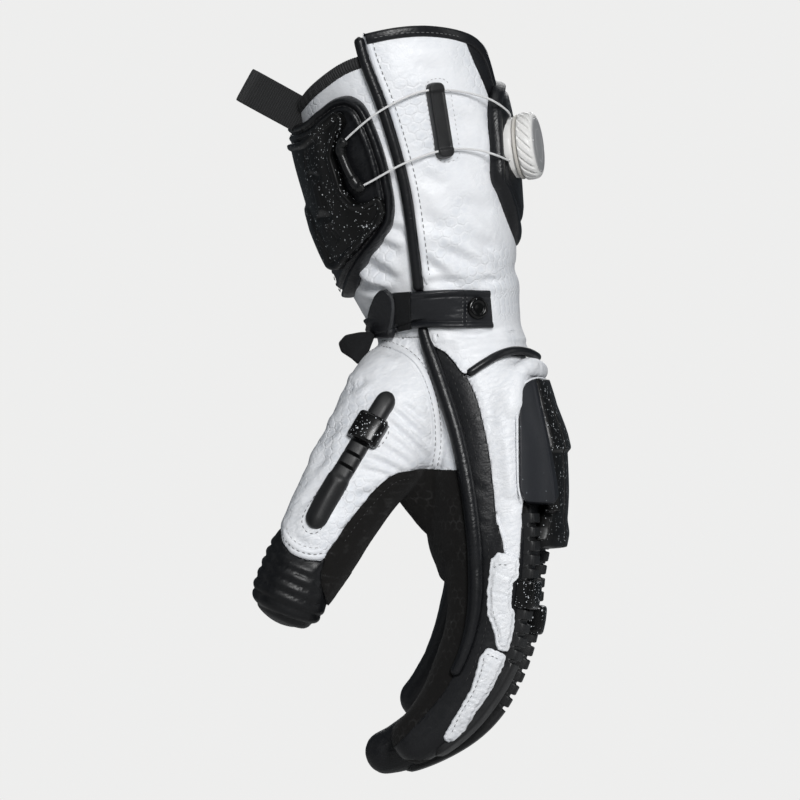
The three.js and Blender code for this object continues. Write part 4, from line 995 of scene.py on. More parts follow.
off_hand = off_tube(HAND, CAPS["hand"], skin)
off_thumb = off_tube(THUMB, CAPS["thumb"], skin)
off_fingers = np.stack([off_tube(rows, CAPS[name], skin) for name, rows in FINGERS.items()], -1)
near_thumb = (np.abs(off_thumb) < 7) & (np.abs(off_hand) < 7) & (skin[:, 2] > -110)
joint = np.clip(1 - np.maximum(np.abs(off_hand), np.abs(off_thumb)) / 7, 0, 1) * near_thumb
skin = smoothed(skin, skin_faces, 30, joint)
skin_normals = unit(smoothed(normals_of(skin, skin_faces), skin_faces, 10))
skin_tree = BVHTree.FromPolygons(skin.tolist(), skin_faces.tolist())
print("points near the thumb's root:", int(near_thumb.sum()), "of", len(skin))

# %% [markdown]
# These lines are drawn on the glove as seen from the thumb side, in x and z: the edge of the flap, the
# tops of the cuff, the arc over the knuckles, and the borders of the leather panels. Each cuts straight
# across the hand, so the far side has the same seams.

# %% Lines of the pattern
FLAP_EDGE = [
    [-33.6, 114], [-30.3, 101.3], [-23.4, 82.8], [-17.2, 62.3], [-13.5, 45.9], [-10.7, 25.4],
    [-8.6, 9], [-6.5, -8], [-2.9, -19.7], [2, -34], [6.6, -48.4], [10.2, -64.8], [12.7, -81.2],
    [14.3, -97.6], [14.8, -114], [13.1, -128.3], [9.4, -140.6], [5.5, -148.5],
]
FLAP_TOP = [
    [-40, 108], [-33.6, 111.5], [-28.7, 113.2], [-16.4, 115.6], [-4.1, 116.4], [8.2, 115], [15.6, 112],
    [19.7, 106], [23, 95], [26, 85],
]
CUFF_TOP = [
    [-75, 70], [-63.5, 80.3], [-59, 85.3], [-53.3, 91.5], [-45.1, 97.7], [-38.9, 101.3], [-32, 103.6],
    [-16.4, 106], [15, 107],
]
GUSSET_EDGE = [[5.6, 118], [8.2, 110.7], [11.6, 103.3], [15.6, 93.1], [19.4, 82], [20.6, 70]]
KNUCKLE_ARC = [
    [2.4, -16.8], [5.8, -20.6], [10.2, -25.6], [16.4, -22.0], [23.4, -17.9], [29.6, -16.2], [34.6, -17.2],
    [39.0, -20.6], [45, -27],
]
BACK_EDGE = [
    [2.4, -17.6], [6.3, -21.5], [10.2, -26], [14.3, -34], [17.2, -44.3], [19.7, -56.6], [21.3, -68.9],
    [22.5, -81.2], [23.4, -91.4], [24.6, -101.7], [25.2, -120],
]
THUMB_INNER_EDGE = [
    [12, -65.2], [7, -64.8], [-5.9, -64.6], [-14.8, -65.6], [-18.9, -66.6], [-23.8, -70.1], [-29.5, -76.3],
    [-36.1, -84.5], [-43.9, -95.5], [-48, -102],
]
THUMB_TIP_EDGE = [
    [-74, -84], [-66.8, -87], [-65.4, -90], [-64.2, -94.1], [-59.4, -98.9], [-53.7, -101], [-48.4, -101.4],
    [-46.4, -100.6], [-47.6, -104], [-48.2, -110], [-46, -118.5], [-44, -126],
]
WRIST_SEAM_Z = -10.7
THENAR_Y = -10.0
HUGE = 200.0
PIPING_R = 2.3


def smooth(line, count=60):
    """The line's evenly spaced points."""
    return resample(line, count=count)


def shifted(line, distance):
    """The line moved sideways, to its left where distance is positive."""
    step = unit(np.gradient(line, axis=0))
    return line + np.stack([-step[:, 1], step[:, 0]], -1) * distance


def right_of(line, x, z):
    """Signed distance into the region to the right of a line that runs downwards."""
    return from_outline([*line, (HUGE, line[-1][1]), (HUGE, line[0][1])], x, z)


def below(line, x, z):
    """Signed distance into the region under a line that runs from left to right."""
    return from_outline([*line, (line[-1][0], -HUGE), (line[0][0], -HUGE)], x, z)


def rounded_outline(outline, count=240, rounds=3):
    """The outline's evenly spaced points, with its corners softened."""
    closed = np.vstack([outline, outline[:1]]).astype(float)
    run = run_of(closed)
    points = taken(closed, run, np.linspace(0, run[-1], count, endpoint=False))
    for _ in range(rounds):
        points = points / 2 + (np.roll(points, 1, 0) + np.roll(points, -1, 0)) / 4
    return points


flap_edge, flap_top, cuff_top = smooth(FLAP_EDGE, 120), smooth(FLAP_TOP), smooth(CUFF_TOP)
gusset_edge, arc, back_edge = smooth(GUSSET_EDGE, 30), smooth(KNUCKLE_ARC), smooth(BACK_EDGE)
inner_edge, tip_edge = smooth(THUMB_INNER_EDGE), smooth(THUMB_TIP_EDGE)
flap_left = shifted(flap_edge[(flap_edge[:, 1] < 116) & (flap_edge[:, 1] > -15)], PIPING_R * 0.75)
print("flap's edge:", round(float(run_of(flap_edge)[-1])), "mm long")

# %% [markdown]
# Leather that has been worn is never smooth. Long soft swells lie all over it, and folds gather where it
# bends: at the thumb's root, above the strap and round the fingers' joints. Each fold below is a line
# with a depth and a width; a point sinks by depth * exp(-(distance / width)^2), and rises a little on
# both sides of the line.

# %% Folds and swells
FOLDS = np.array([  # x, z of one end, x, z of the other, depth, width
    [-20.5, -39, -5, -53.5, 0.9, 1.3], [-21.5, -44, -5, -60, 1.0, 1.3], [-21, -50, -9, -60.5, 0.8, 1.2],
    [-31, -59, -15, -65.5, 0.9, 1.3], [-33, -64, -20, -67, 0.7, 1.2], [-16, -37, -6, -45, 0.7, 1.4],
    [-27, -53, -12, -62.5, 0.7, 1.3],
    [-35, -75, -27, -74, 0.8, 1.5], [-53, -64, -46, -58, 0.8, 2.0], [-47, -50, -41, -46, 0.8, 2.2],
    [-57, -78, -48, -72, 0.8, 1.8], [-38, -32, -30, -27, 0.9, 2.0], [-40, -90, -33, -84, 0.7, 1.4],
    [-60, -92, -52, -96, 0.6, 1.4], [-44, -98, -38, -92, 0.7, 1.4],
    [-8, 22, 3, 14, 1.0, 2.4], [-2, 26, 14, 19, 1.2, 2.6], [10, 30, 28, 22, 1.1, 2.8], [20, 20, 33, 14, 1.0, 2.2],
    [-9, 40, 2, 33, 0.6, 3.0], [6, 46, 20, 40, 0.7, 3.4], [14, 13, 30, 12.5, 1.1, 1.8], [-6, 12.5, 8, 12, 1.0, 1.8],
    [-30, 20, -18, 12, 1.2, 2.4], [-38, 16, -26, 8, 1.0, 2.0], [-28, 28, -16, 24, 1.0, 2.4],
    [-22, 34, -13, 31, 0.8, 2.2],
    [-34, 12, -20, 7.5, 1.0, 1.8], [-14, -12, -6, -17, 0.8, 2.2], [-26, -14, -16, -17, 0.8, 2.0],
    [4, -9, 22, -12, 0.9, 2.0], [18, -8.5, 36, -11, 0.9, 2.0], [10, -15, 24, -15, 0.6, 1.6],
    [18, -44, 26, -50, 0.6, 1.8], [19, -60, 28, -64, 0.6, 1.6], [21, -76, 30, -80, 0.7, 1.6],
    [22, -86, 31, -88, 0.7, 1.4],
    [12, -70, 20, -74, 0.5, 1.8], [13, -84, 20, -88, 0.5, 1.6],
    [-28, 60, -20, 52, 0.7, 2.6], [2, 80, 14, 74, 0.5, 3.4], [-12, 100, 0, 97, 0.5, 3.2],
    [24, -88, 33, -91, 0.6, 1.2], [25, -94, 33, -96, 0.5, 1.1], [-7, 56, 2, 50, 0.5, 3.0], [-4, 66, 6, 57, 0.5, 2.6],
])
FOLD_DEPTH = 1.6


def along_line(points, ends):
    """Distance to a line between two ends in x and z, and how far along it, from 0 to 1."""
    a, b = np.array(ends[:2]), np.array(ends[2:4])
    q = points[:, [0, 2]] - a
    t = np.clip(q @ (b - a) / ((b - a) @ (b - a)), 0, 1)
    return np.linalg.norm(q - t[:, None] * (b - a), axis=1), t


SWELL, CRUMPLE, FINE = make_waves(26, 26, 0.35), make_waves(40, 7.0, 0.4), make_waves(40, 2.6, 0.3)


def relief(points):
    """How far the leather rises: swells, sharp-bottomed crumples and, towards the thumb, the folds."""
    swell = 0.45 * noise(points, SWELL)
    stretched = points * (1, 0.8, 0.55)
    crumple = -np.exp(-(noise(stretched, CRUMPLE) / 0.28) ** 2) * (0.5 + 0.5 * noise(points, SWELL)).clip(0, 1)
    fine = -np.exp(-(noise(points * (1, 0.8, 0.7), FINE) / 0.35) ** 2)
    rise = swell + 0.20 * crumple + 0.07 * fine
    facing = smoothstep(0, 14, -points[:, 1])
    for fold in FOLDS:
        away, t = along_line(points, fold[:4])
        taper = np.sin(np.pi * np.clip(t, 0.02, 0.98)) ** 0.6
        wave = np.exp(-(away / fold[5]) ** 2) - 0.55 * np.exp(-((away - 1.9 * fold[5]) / fold[5]) ** 2)
        rise = rise - FOLD_DEPTH * fold[4] * wave * taper * facing
    return rise


X, Y, Z = skin.T
flatter = smoothstep(-4, -24, Z) * smoothstep(20, 26, X)  # firm under the guard
near_top = np.maximum(smoothstep(9, 2, below(cuff_top, X, Z)) * (X < -20),
                      smoothstep(9, 2, below(flap_top, X, Z)) * (X > -36))
skin_rise = relief(skin) * (1 - 0.8 * flatter) * (1 - 0.85 * near_top)
print("relief of the leather, mm:", skin_rise.min().round(2), "to", skin_rise.max().round(2))

# %% [markdown]
# A panel is cut from the skin where all of its borders' distances are positive. Along a seam the leather
# turns down into the stitching, so a point near the border sinks by dip * (1 - distance / wide)^2, and
# the wall is given its thickness inwards with a rim that closes it.

# %% Panels of leather
fields = {
    "cuff": Z - WRIST_SEAM_Z,
    "flap": right_of(flap_edge, X, Z),
    "back": right_of(back_edge, X, Z),
    "cuff_top": below(cuff_top - (0, 1.6), X, Z),
    "inner": from_outline([*inner_edge, (-48, -HUGE), (HUGE, -HUGE), (HUGE, -65.2)], X, Z),
    "tip": from_outline([*tip_edge, (-44, -HUGE), (-HUGE, -HUGE), (-HUGE, -84)], X, Z),
    "thumb": np.minimum(off_hand - 0.3, off_fingers.min(1) - off_thumb),
    "digits": 6 * (off_hand - 0.3),  # steep, so that it never blurs another border
}
fields["finger"] = np.minimum(off_hand - 0.3, off_thumb - off_fingers.min(1))
least = np.sort(off_fingers, axis=1)
which = {name: off_fingers[:, i] - np.where(off_fingers[:, i] == least[:, 0], least[:, 1], least[:, 0])
         for i, name in enumerate(FINGERS)}


def least_of(*values):
    """The smallest of several fields: the region that is inside all of them."""
    return np.minimum.reduce([np.broadcast_to(v, len(skin)) for v in values])


def either(*values):
    """The largest of several fields: the region that is inside any of them."""
    return np.maximum.reduce([np.broadcast_to(v, len(skin)) for v in values])


def wrapped(uv, faces, period):
    """UV per face corner, so that a face across the cut of the label doesn't take the whole way round."""
    corner = uv[faces].copy()
    low = corner[..., 0] < corner[..., 0].max(1, keepdims=True) - period / 2
    corner[..., 0] += low * period
    return corner.reshape(-1, 2)


def panel(name, region, material, nodes, lift=0.0, thickness=WALL, seams=None, dip=0.9, uv=None, period=0.0,
          rise=None, wide=3.0):
    """A piece of the skin where region is positive, raised by lift and sunk along its seams."""
    sink = dip * np.clip(1 - np.maximum(region if seams is None else seams, 0) / wide, 0, 1) ** 2
    uv = np.zeros((len(skin), 2)) if uv is None else uv
    height = lift + (skin_rise if rise is None else rise) - sink
    columns, faces = clip(np.hstack([skin + skin_normals * height[:, None], uv]), skin_faces, region)
    points, flat = columns[:, :3], columns[:, 3:5]
    piece(name, points, faces, material, nodes, uv=wrapped(flat, faces, period) if period else flat,
          thickness=thickness)
    print(f"{name}: {len(faces)} triangles")


HAND_R, THUMB_R = 40.0, 18.0
hand_uv = angle_map(HAND, skin, HAND_R)
thumb_uv = angle_map(THUMB, skin, THUMB_R)
palm_uv = np.stack([(X - Y) * 0.85, Z], -1)

under_flap = right_of(shifted(flap_edge, 20.0), X, Z)
panel("cuff_palm_leather", least_of(fields["cuff"], fields["cuff_top"], -under_flap), WHITE_PRINTED,
      "cuff_palm_side", seams=fields["cuff"], uv=hand_uv, period=2 * np.pi * HAND_R)

flap_top_back = (flap_top - (0.6, 1.5))[flap_top[:, 0] > -30][::-1]
flap_region = from_outline([*flap_left, *arc, (HUGE, -22), (HUGE, 85), *flap_top_back], X, Z)
gusset = least_of(right_of(gusset_edge, X, Z), Z - 79)
flap_seams = least_of(right_of(flap_left, X, Z) - 0.4, np.where(Z < 0, flap_region, 50))
above_strap = np.exp(-((Z - 12) / 6) ** 2) * smoothstep(0, 30, X)
panel("cuff_flap_leather", least_of(flap_region, -gusset), WHITE_PRINTED, "cuff_flap", lift=FLAP,
      thickness=FLAP - 0.4, seams=flap_seams, dip=0.8, wide=1.6, uv=hand_uv, period=2 * np.pi * HAND_R,
      rise=skin_rise + 1.6 * above_strap)
panel("flap_gusset_leather", least_of(flap_region, gusset), BLACK_SIDE, "flap_gusset", lift=FLAP,
      thickness=FLAP - 0.4, dip=0.6, uv=hand_uv)

hand_only = least_of(-fields["digits"], -fields["cuff"])
white_back = least_of(hand_only, fields["back"], fields["flap"])
ROLL_LINE = [[29.8, -50], [29.4, -44], [29.0, -39], [28.9, -34], [29.6, -29.2], [31.4, -25.4], [34.2, -23.2],
             [37.2, -22.6], [40.4, -24.2]]
guard_left = [[31.0, -78], [30.8, -72], [30.6, -60], [30.6, -37], [32.0, -30.5], [36.4, -26.8], [43, -25.6]]
to_guard = -from_outline([*guard_left, (HUGE, -25.6), (HUGE, -78)], X, Z)
near_guard = 2.5 * smoothstep(13, 1.0, to_guard) * smoothstep(-83, -72, Z) * smoothstep(-11, -18, Z)
near_roll = np.min(np.linalg.norm(skin[:, None, [0, 2]] - smooth(ROLL_LINE, 40)[None], axis=-1), axis=1)
near_guard = np.maximum(near_guard, 4.9 * np.exp(-(near_roll / 5.2) ** 2) * smoothstep(-52, -38, Z))
TONGUE = [[22.6, -70], [22.9, -80], [23.2, -85.4], [24.5, -89], [25.5, -92], [25.9, -96], [26, -101],
          [32.4, -101], [32.7, -93.2], [33.4, -85.3], [33.2, -79.5], [33.2, -70]]
tongue = least_of(from_outline(rounded_outline(TONGUE, 160, 2), X, Z), -31 - Y)
under_guard = from_outline([(33.0, -77), (HUGE, -77), (HUGE, -135), (32.2, -135), (32.8, -93), (33.4, -85)], X, Z)
white_back = either(least_of(white_back, -under_guard), tongue)
calm_edge = smoothstep(0.5, 6, fields["back"])
panel("back_leather", white_back, WHITE_WRINKLED, "back_panel", seams=fields["back"], uv=hand_uv,
      rise=skin_rise * (0.15 + 0.85 * calm_edge) + near_guard * smoothstep(1.5, 7, fields["back"]), dip=0.7)
side = least_of(-fields["cuff"], fields["flap"], -fields["back"], -fields["digits"])
firm_rise = skin_rise * 0.45
side_rise = firm_rise * 0.6 * smoothstep(0.5, 6, -fields["back"]) + 0.45 * smoothstep(12, 2, -fields["back"])
INDEX_LEATHER = [*flap_edge[flap_edge[:, 1] < -85], [1.0, -156], [-7.5, -166], [-17, -176], [-24, -183]]
index_right = right_of(INDEX_LEATHER, X, Z)
index_leather = least_of(fields["finger"], -which["index"], index_right, -tongue)
index_inner = least_of(fields["finger"], -which["index"], -index_right)
panel("thumb_side_leather", either(least_of(side, -Y), index_leather, least_of(hand_only, under_guard)), BLACK_PANEL,
      ["thumb_side_panel", "index_finger"], rise=side_rise, seams=either(fields["flap"], fields["finger"]))
panel("outer_side_leather", least_of(side, Y), BLACK_PANEL, "outer_side_panel", rise=side_rise,
      seams=fields["flap"])
print("pieces so far:", len(PIECES))

# %% [markdown]
# The thumb's back and the ball of the thumb are one white panel on the real glove, bounded by a
# double-stitched seam; a narrower white panel lies between that seam and the piping. The palm, the
# inner side of the thumb and the fingers' grip side are soft black leather with a fine cell print.

# %% Thumb, palm and fingers
DOUBLE_SEAM = [[-27, -10.7], [-18.4, -12.5], [-12.3, -15.6], [-6.5, -21.5], [-2.0, -32], [0.5, -44.3], [0.6, -56],
               [-0.8, -64.5]]
double_seam = smooth(DOUBLE_SEAM, 60)
seam_away = np.min(np.linalg.norm(skin[:, None, [0, 2]] - double_seam[None, ::2], axis=-1), axis=1)
seam_away = np.where((Y < 0) & (Z < -8), seam_away, 50)
seam_dent = 0.75 * np.exp(-(seam_away / 0.9) ** 2) - 0.25 * np.exp(-((seam_away - 2.2) / 1.0) ** 2)

thenar = least_of(-fields["cuff"], -fields["flap"], -fields["inner"], THENAR_Y - Y, -fields["digits"])
thumb_white = least_of(fields["thumb"], -fields["inner"], -fields["tip"])
white_seams = least_of(either(-fields["inner"], -fields["thumb"]), -fields["tip"], -fields["flap"] + 2)
panel("thumb_white_leather", either(thenar, thumb_white), WHITE_THUMB,
      ["thumb_back", "thenar_panel"], seams=white_seams, uv=thumb_uv, period=2 * np.pi * THUMB_R,
      rise=skin_rise - seam_dent, wide=2.2)

palm = least_of(-fields["cuff"], -fields["flap"], -fields["digits"],
                either(fields["inner"], Y - THENAR_Y))
thumb_inner = least_of(fields["thumb"], fields["inner"], -fields["tip"])
panel("palm_leather", either(palm, thumb_inner, index_inner), PALM_PRINT,
      ["palm_panel", "thumb_inner"], uv=palm_uv, rise=firm_rise,
      seams=least_of(-fields["flap"], either(fields["inner"], Y - THENAR_Y, -fields["thumb"])))

RIB_PITCH, RIB_HEIGHT, LAST_RIB = 4.7, 1.25, 130.0
thumb_run, thumb_angle = unrolled(THUMB, skin)[:2]
leaning = thumb_run + 1.7 * np.cos(thumb_angle) - 1.3 * np.sin(thumb_angle)
rib = np.abs(np.cos(np.pi * leaning / RIB_PITCH)) ** 0.7
beyond_edge = smoothstep(0.5, 5, fields["tip"]) * smoothstep(LAST_RIB + 4, LAST_RIB, thumb_run)
print("along the thumb, mm:", thumb_run[fields["thumb"] > 0].max().round(1))
tip_rise = skin_rise * 0.1 + beyond_edge * (RIB_HEIGHT * rib - 0.35)
panel("thumb_tip_leather", least_of(fields["thumb"], fields["tip"]), RIBBED_BLACK,
      "thumb_tip", rise=tip_rise)

for name in ("middle", "ring", "little"):
    panel(name + "_leather", least_of(fields["finger"], -which[name]), BLACK_SIDE, name + "_finger", dip=0.5,
          rise=firm_rise)
print("pieces so far:", len(PIECES), "triangles:", sum(len(p.data.polygons) for p in PIECES))

# %% [markdown]
# Raw edges of leather are hidden in two ways. A binding is a strip folded over the edge, so it is a
# flattened tube along the border. Piping is a strip folded round a cord and caught in the seam, so it is
# a round bead that half sinks between the two panels.

# %% Finding places on the leather
def rays(tree, points, directions):
    """Where straight lines first meet a surface, and the surface's outward direction there."""
    places, normals = [], []
    for p, d in zip(points, directions):
        place, normal, *_ = tree.ray_cast(Vector(p), Vector(d))
        if place is None:
            place, normal, *_ = tree.find_nearest(Vector(p) + Vector(d) * 150)
        places.append(place)
        normals.append(normal)
    return np.array(places), np.array(normals)


def seen_from_thumb(line, tree=None):
    """The places where points of a line in x and z lie on the thumb side of the skin, or of another
    tree's pieces, and the outward directions there."""
    line = np.asarray(line, float)
    start = np.stack([line[:, 0], -150 + 0 * line[:, 0], line[:, 1]], -1)
    return rays(tree or skin_tree, start, np.tile([0, 1.0, 0], (len(line), 1)))


def softened(values, rounds=6):
    """Values along a path, each moved half way to the mean of its neighbours, several times."""
    values = values.copy()
    for _ in range(rounds):
        values[1:-1] = values[1:-1] / 2 + (values[:-2] + values[2:]) / 4
    return values


def crossing_row(line, angles, low, high, lift):
    """At each angle round the hand, the row at which the surface meets a line z(x), found by halving."""
    line = line[np.argsort(line[:, 0])]
    low, high = np.full(len(angles), float(low)), np.full(len(angles), float(high))
    for _ in range(30):
        v = (low + high) / 2
        p = on_hand(v, angles, lift)
        above = p[:, 2] > np.interp(p[:, 0], line[:, 0], line[:, 1])
        low, high = np.where(above, v, low), np.where(above, high, v)
    return low


def facing_out(path):
    """Level directions out of the hand at the points of a path."""
    angle = unrolled(HAND, path)[1]
    return np.stack([np.cos(angle), -np.sin(angle), 0 * angle], -1)


print("outward at the wrist's thumb side:", facing_out(np.array([[3.6, -35, -1]])).round(2))

# %% Bindings of the cuff
def binding(name, line, angles, lift, depth, width, ribs=0.0):
    """A folded strip along a line: an oval profile, width high and depth thick, that follows the border.
    Ribs are a fine swell along it, as on gathered elastic."""
    v = crossing_row(line, angles, *RIM_ROWS, lift)
    path = softened(resample(on_hand(v, angles, lift - depth / 2), step=0.45), 8)
    t = np.linspace(0, 2 * np.pi, OVAL, endpoint=False)
    profile = np.stack([bend(np.cos(t), 2 / 0.62) * width / 2, bend(np.sin(t), 2 / 0.62) * depth / 2], -1)
    run = np.arange(len(path)) * 0.45
    scale = 1 + ribs * np.cos(2 * np.pi * run / 0.9)
    points, faces = sweep(path, profile, up=facing_out(path), scale=scale)
    piece(name + "_tape", points, faces, BINDING_TAPE if ribs else BLACK_SMOOTH, name,
          uv=round_the_tube(run, OVAL, width * 2))


RIM_ROWS, RIM_DROP, OVAL = (-0.9, 3), (0, 2.1), 22  # rows between which the rim lies, its drop, profile points


def past_flap_edge(line, angles, lift):
    """How far to the right of the flap's edge the rim lies at each angle."""
    x, _, z = on_hand(crossing_row(line, angles, *RIM_ROWS, lift), angles, lift).T
    return x - np.interp(z, flap_edge[::-1, 1], flap_edge[::-1, 0])


cuff_angles, cuff_rim = np.linspace(np.radians(66), np.radians(294), 240), cuff_top - RIM_DROP
flap_angles, flap_rim = np.radians(np.linspace(-118, 118, 300)), flap_top - RIM_DROP
on_cuff = past_flap_edge(cuff_rim, cuff_angles, 0) < 1.0
on_flap = past_flap_edge(flap_rim, flap_angles, FLAP) > 2.0
binding("cuff_binding", cuff_rim, cuff_angles[on_cuff], 1.1, WALL + 2.2, 5.0, 0.05)
binding("flap_binding", flap_rim, flap_angles[on_flap], FLAP + 1.1, WALL + 0.8, 4.6)
print("bindings made")

# %% Piping
def bead(name, path, normals, radius, scale=1.0):
    """A round bead along a path, with rounded ends: the profile shrinks to a point over one radius."""
    run = run_of(path)
    ends = np.minimum(run, run[-1] - run)
    tip = np.sqrt(np.clip(1 - (1 - np.clip(ends / radius, 0, 1)) ** 2, 0.02, 1))
    points, faces = sweep(path, circle(radius, 18), up=normals, scale=tip * scale)
    piece(name + "_bead", points, faces, BLACK_SMOOTH, name)


def bead_path(line, lift):
    """The smooth path of a bead whose middle lies lift outside the leather, as seen from the thumb side."""
    places, normals = seen_from_thumb(resample(line, step=0.9))
    normals = unit(softened(normals, 20))
    return softened(places, 10) + normals * lift, normals


upper = flap_edge[(flap_edge[:, 1] < 113.8) & (flap_edge[:, 1] > 7)]
bead("flap_piping", *bead_path(upper, 1.25), PIPING_R)
path, normals = bead_path(flap_edge[flap_edge[:, 1] < -5], 0.7)
run = np.arange(len(path)) * 0.9
grow = smoothstep(0, 18, run) * smoothstep(0, 40, run[::-1])
bead("side_piping", path, normals, PIPING_R, 1 + 0.42 * grow)
arc_angles = np.radians(np.linspace(88, -88, 160))
v_arc = crossing_row(arc, arc_angles, 6.5, 9, 1.2)
path = softened(resample(on_hand(v_arc, arc_angles, 1.2 + 2.6 * np.cos(arc_angles) ** 3), step=0.9), 4)
bead("knuckle_piping", path, facing_out(path), 1.75)
print("piping made")

# %% [markdown]
# Stitches are short lengths of thread that dip into the leather at both ends. One stitch is a little
# spindle of five sides; it is copied along each seam by arrays, one copy for each length of thread.

# %% Stitches
def spindles(starts, ends, normals, radius, sides=5):
    """A closed spindle from each start to each end: rings of sides points whose radius and height follow
    a half sine."""
    t = np.array([0.0, 0.2, 0.5, 0.8, 1.0])
    size = np.array([0.25, 0.85, 1.0, 0.85, 0.25]) * radius
    rise = np.array([-0.7, 0.1, 0.35, 0.1, -0.7]) * radius
    along = unit(ends - starts)
    across = unit(np.cross(along, normals))
    up = np.cross(across, along)
    a = np.linspace(0, 2 * np.pi, sides, endpoint=False)
    middle = starts[:, None] + (ends - starts)[:, None] * t[None, :, None] + up[:, None] * rise[None, :, None]
    ring = across[:, None, None] * np.cos(a)[:, None] + up[:, None, None] * np.sin(a)[:, None]
    points = middle[:, :, None] + ring * size[:, None, None]
    count, k = len(t) * sides, np.arange(1, sides - 1)
    fan = np.stack([0 * k, k + 1, k], -1)
    one = np.vstack([triangles(grid_faces(len(t), sides, wrap=True)), fan[:, ::-1], fan + count - sides])
    return points.reshape(-1, 3), (one + np.arange(len(starts))[:, None, None] * count).reshape(-1, 3)


def stitched(path, normals, length, gap, radius):
    """Stitches along a path: every length + gap millimetres a spindle of that length."""
    run = run_of(path)
    at = np.arange(0.5, run[-1] - length, length + gap)
    return spindles(taken(path, run, at), taken(path, run, at + length), unit(taken(normals, run, at + length / 2)),
                    radius)


SEWN = {"white": [], "dark": [], "black": []}


def sew(thread, line, lift, tree, *stitch):
    """Adds stitches along a line seen from the thumb side."""
    places, normals = seen_from_thumb(resample(line, step=0.8), tree)
    normals = unit(softened(normals, 6))
    SEWN[thread].append(stitched(softened(places, 3) + normals * lift, normals, *stitch))


print("stitch tools ready")

# %% [markdown]
# Everything that is sewn or riveted on is a patch: a piece of a surface, cut to an outline, with a
# thickness. A patch is worked out on a grid of two parameters. It is clipped where the distance to its
# outline passes zero and scored at a few distances inside, so that its rounded edge is made of clean
# rows. Then the top rises by a quarter circle from the edge, and the underside stays low.

# %% Patches with rounded edges
def rounded(d, bevel):
    """A quarter circle: 0 at the edge and 1 from bevel millimetres inside."""
    return np.sqrt(1 - (1 - np.clip(d / bevel, 0, 1)) ** 2)


def shell(name, surface, p, q, field, low, top, material, nodes, bevel=1.0, step=0.55, at=0.0, scored=(), fill=None):
    """A closed piece: surface(p, q, lift) over a grid from p[0] to p[1] and q[0] to q[1], kept where
    field(x, y, z) is positive. low(p, q) and top(p, q, d, x, y, z) are lifts; the top is reached by a
    quarter circle over bevel millimetres."""
    long_p = run_of(surface(np.linspace(*p, 40), np.full(40, np.mean(q)), 0))[-1]
    long_q = run_of(surface(np.full(80, np.mean(p)), np.linspace(*q, 80), 0))[-1]
    rows, columns = max(4, int(long_p / step)), max(4, int(long_q / step))
    P, Q = (grid.ravel() for grid in np.meshgrid(np.linspace(*p, rows), np.linspace(*q, columns), indexing="ij"))
    place = lambda P, Q: surface(P, Q, at(P) if callable(at) else at).T
    d = field(*place(P, Q))
    table, faces = clip(np.stack([P, Q, d], -1), triangles(grid_faces(rows, columns)), d)
    for level in sorted({*(bevel * np.array([0.08, 0.25, 0.5, 0.8])), *scored}):
        table, faces = clip(table, faces, table[:, 2] - level, both=True)
    P, Q, d = table.T
    d = np.maximum(d, 0)
    under = low(P, Q) + 0 * P
    over = under + (top(P, Q, d, *place(P, Q)) - under) * rounded(d, bevel)
    points = np.vstack([surface(P, Q, over), surface(P, Q, under)])
    other = np.where(d < 1e-6, 0, len(d)) + np.arange(len(d))
    faces = outward(points, proper(np.vstack([faces, other[faces][:, ::-1]])))
    flat = np.stack([Q * long_q / abs(q[1] - q[0]), P * long_p / abs(p[1] - p[0])], -1)
    used, corners = np.unique(faces, return_inverse=True)
    piece(name, points[used], corners.reshape(-1, 3), material, nodes, uv=np.vstack([flat, flat])[used], fill=fill)
    print(f"{name}: {len(faces)} triangles")


def inside_of(outline, far_y=HUGE):
    """A field for one outline in x and z, on the thumb's side of the plane y = far_y."""
    return lambda x, y, z: np.minimum(from_outline(outline, x, z), far_y - y)


def bump_at(value, middle, width):
    """A soft ridge: exp(-((value - middle) / width)^2)."""
    return np.exp(-(((value - middle) / width) ** 2))


print("patches ready")

# %% [markdown]
# On the palm side of the cuff a padded leather backing carries a hard plate. The backing has two welts
# round its free edge, as foam has between rows of stitching. The plate has a bevelled rim that stands
# up, a raised rectangle with sunken ends, and two pairs of short grooves.

# %% The cuff's padded backing
CUFF_PAD = [
    [-75, 56], [-75, 78.5], [-58.4, 76.7], [-52.5, 81.6], [-45.1, 86.9], [-38.9, 88.1], [-33.6, 85.7],
    [-30.3, 81.6], [-25.8, 71.3], [-22.1, 60.3], [-19.3, 45.9], [-19.5, 36.9], [-22.0, 32.0], [-31.4, 20.5],
    [-36.4, 12.5], [-38.6, 4.6], [-56, 2.0], [-60, 28],
]
CUFF_PLATE = [
    [-75, 56], [-75, 68], [-58.6, 69.5], [-48.4, 77.5], [-43.9, 81.6], [-41, 80.4], [-39.4, 76.7],
    [-42.6, 71], [-44.6, 63.5], [-40.2, 49.2], [-35.7, 44.3], [-32, 43.9], [-27.1, 46.7], [-24.2, 45.9],
    [-22.5, 40.2], [-25, 35.3], [-38.9, 20.5], [-42.6, 16.4], [-47, 18], [-58, 40],
]
PAD_FAR_Y, PAD_HEIGHT, PLATE_HEIGHT = 24.0, 4.2, 6.6
pad_outline = rounded_outline(CUFF_PAD, 260, 10)


def pad_top(p, q, d, x, y, z):
    """Two welts near the edge with a sewn valley between, and soft foam inside."""
    welts = 0.9 * bump_at(d, 1.9, 1.2) + 0.75 * bump_at(d, 5.6, 1.1) - 0.7 * bump_at(d, 3.9, 0.5)
    return PAD_HEIGHT - 0.9 + welts + 0.12 * noise(np.stack([x, y, z], -1), CRUMPLE)


shell("cuff_pad_leather", on_hand, (0.2, 6.6), np.radians((50, 232)), inside_of(pad_outline, PAD_FAR_Y),
      lambda p, q: -0.6, pad_top, BLACK_SMOOTH, "cuff_pad", bevel=1.7, at=PAD_HEIGHT,
      scored=(2.6, 3.4, 3.9, 4.4, 5.0, 5.6, 6.4), fill=0.8)

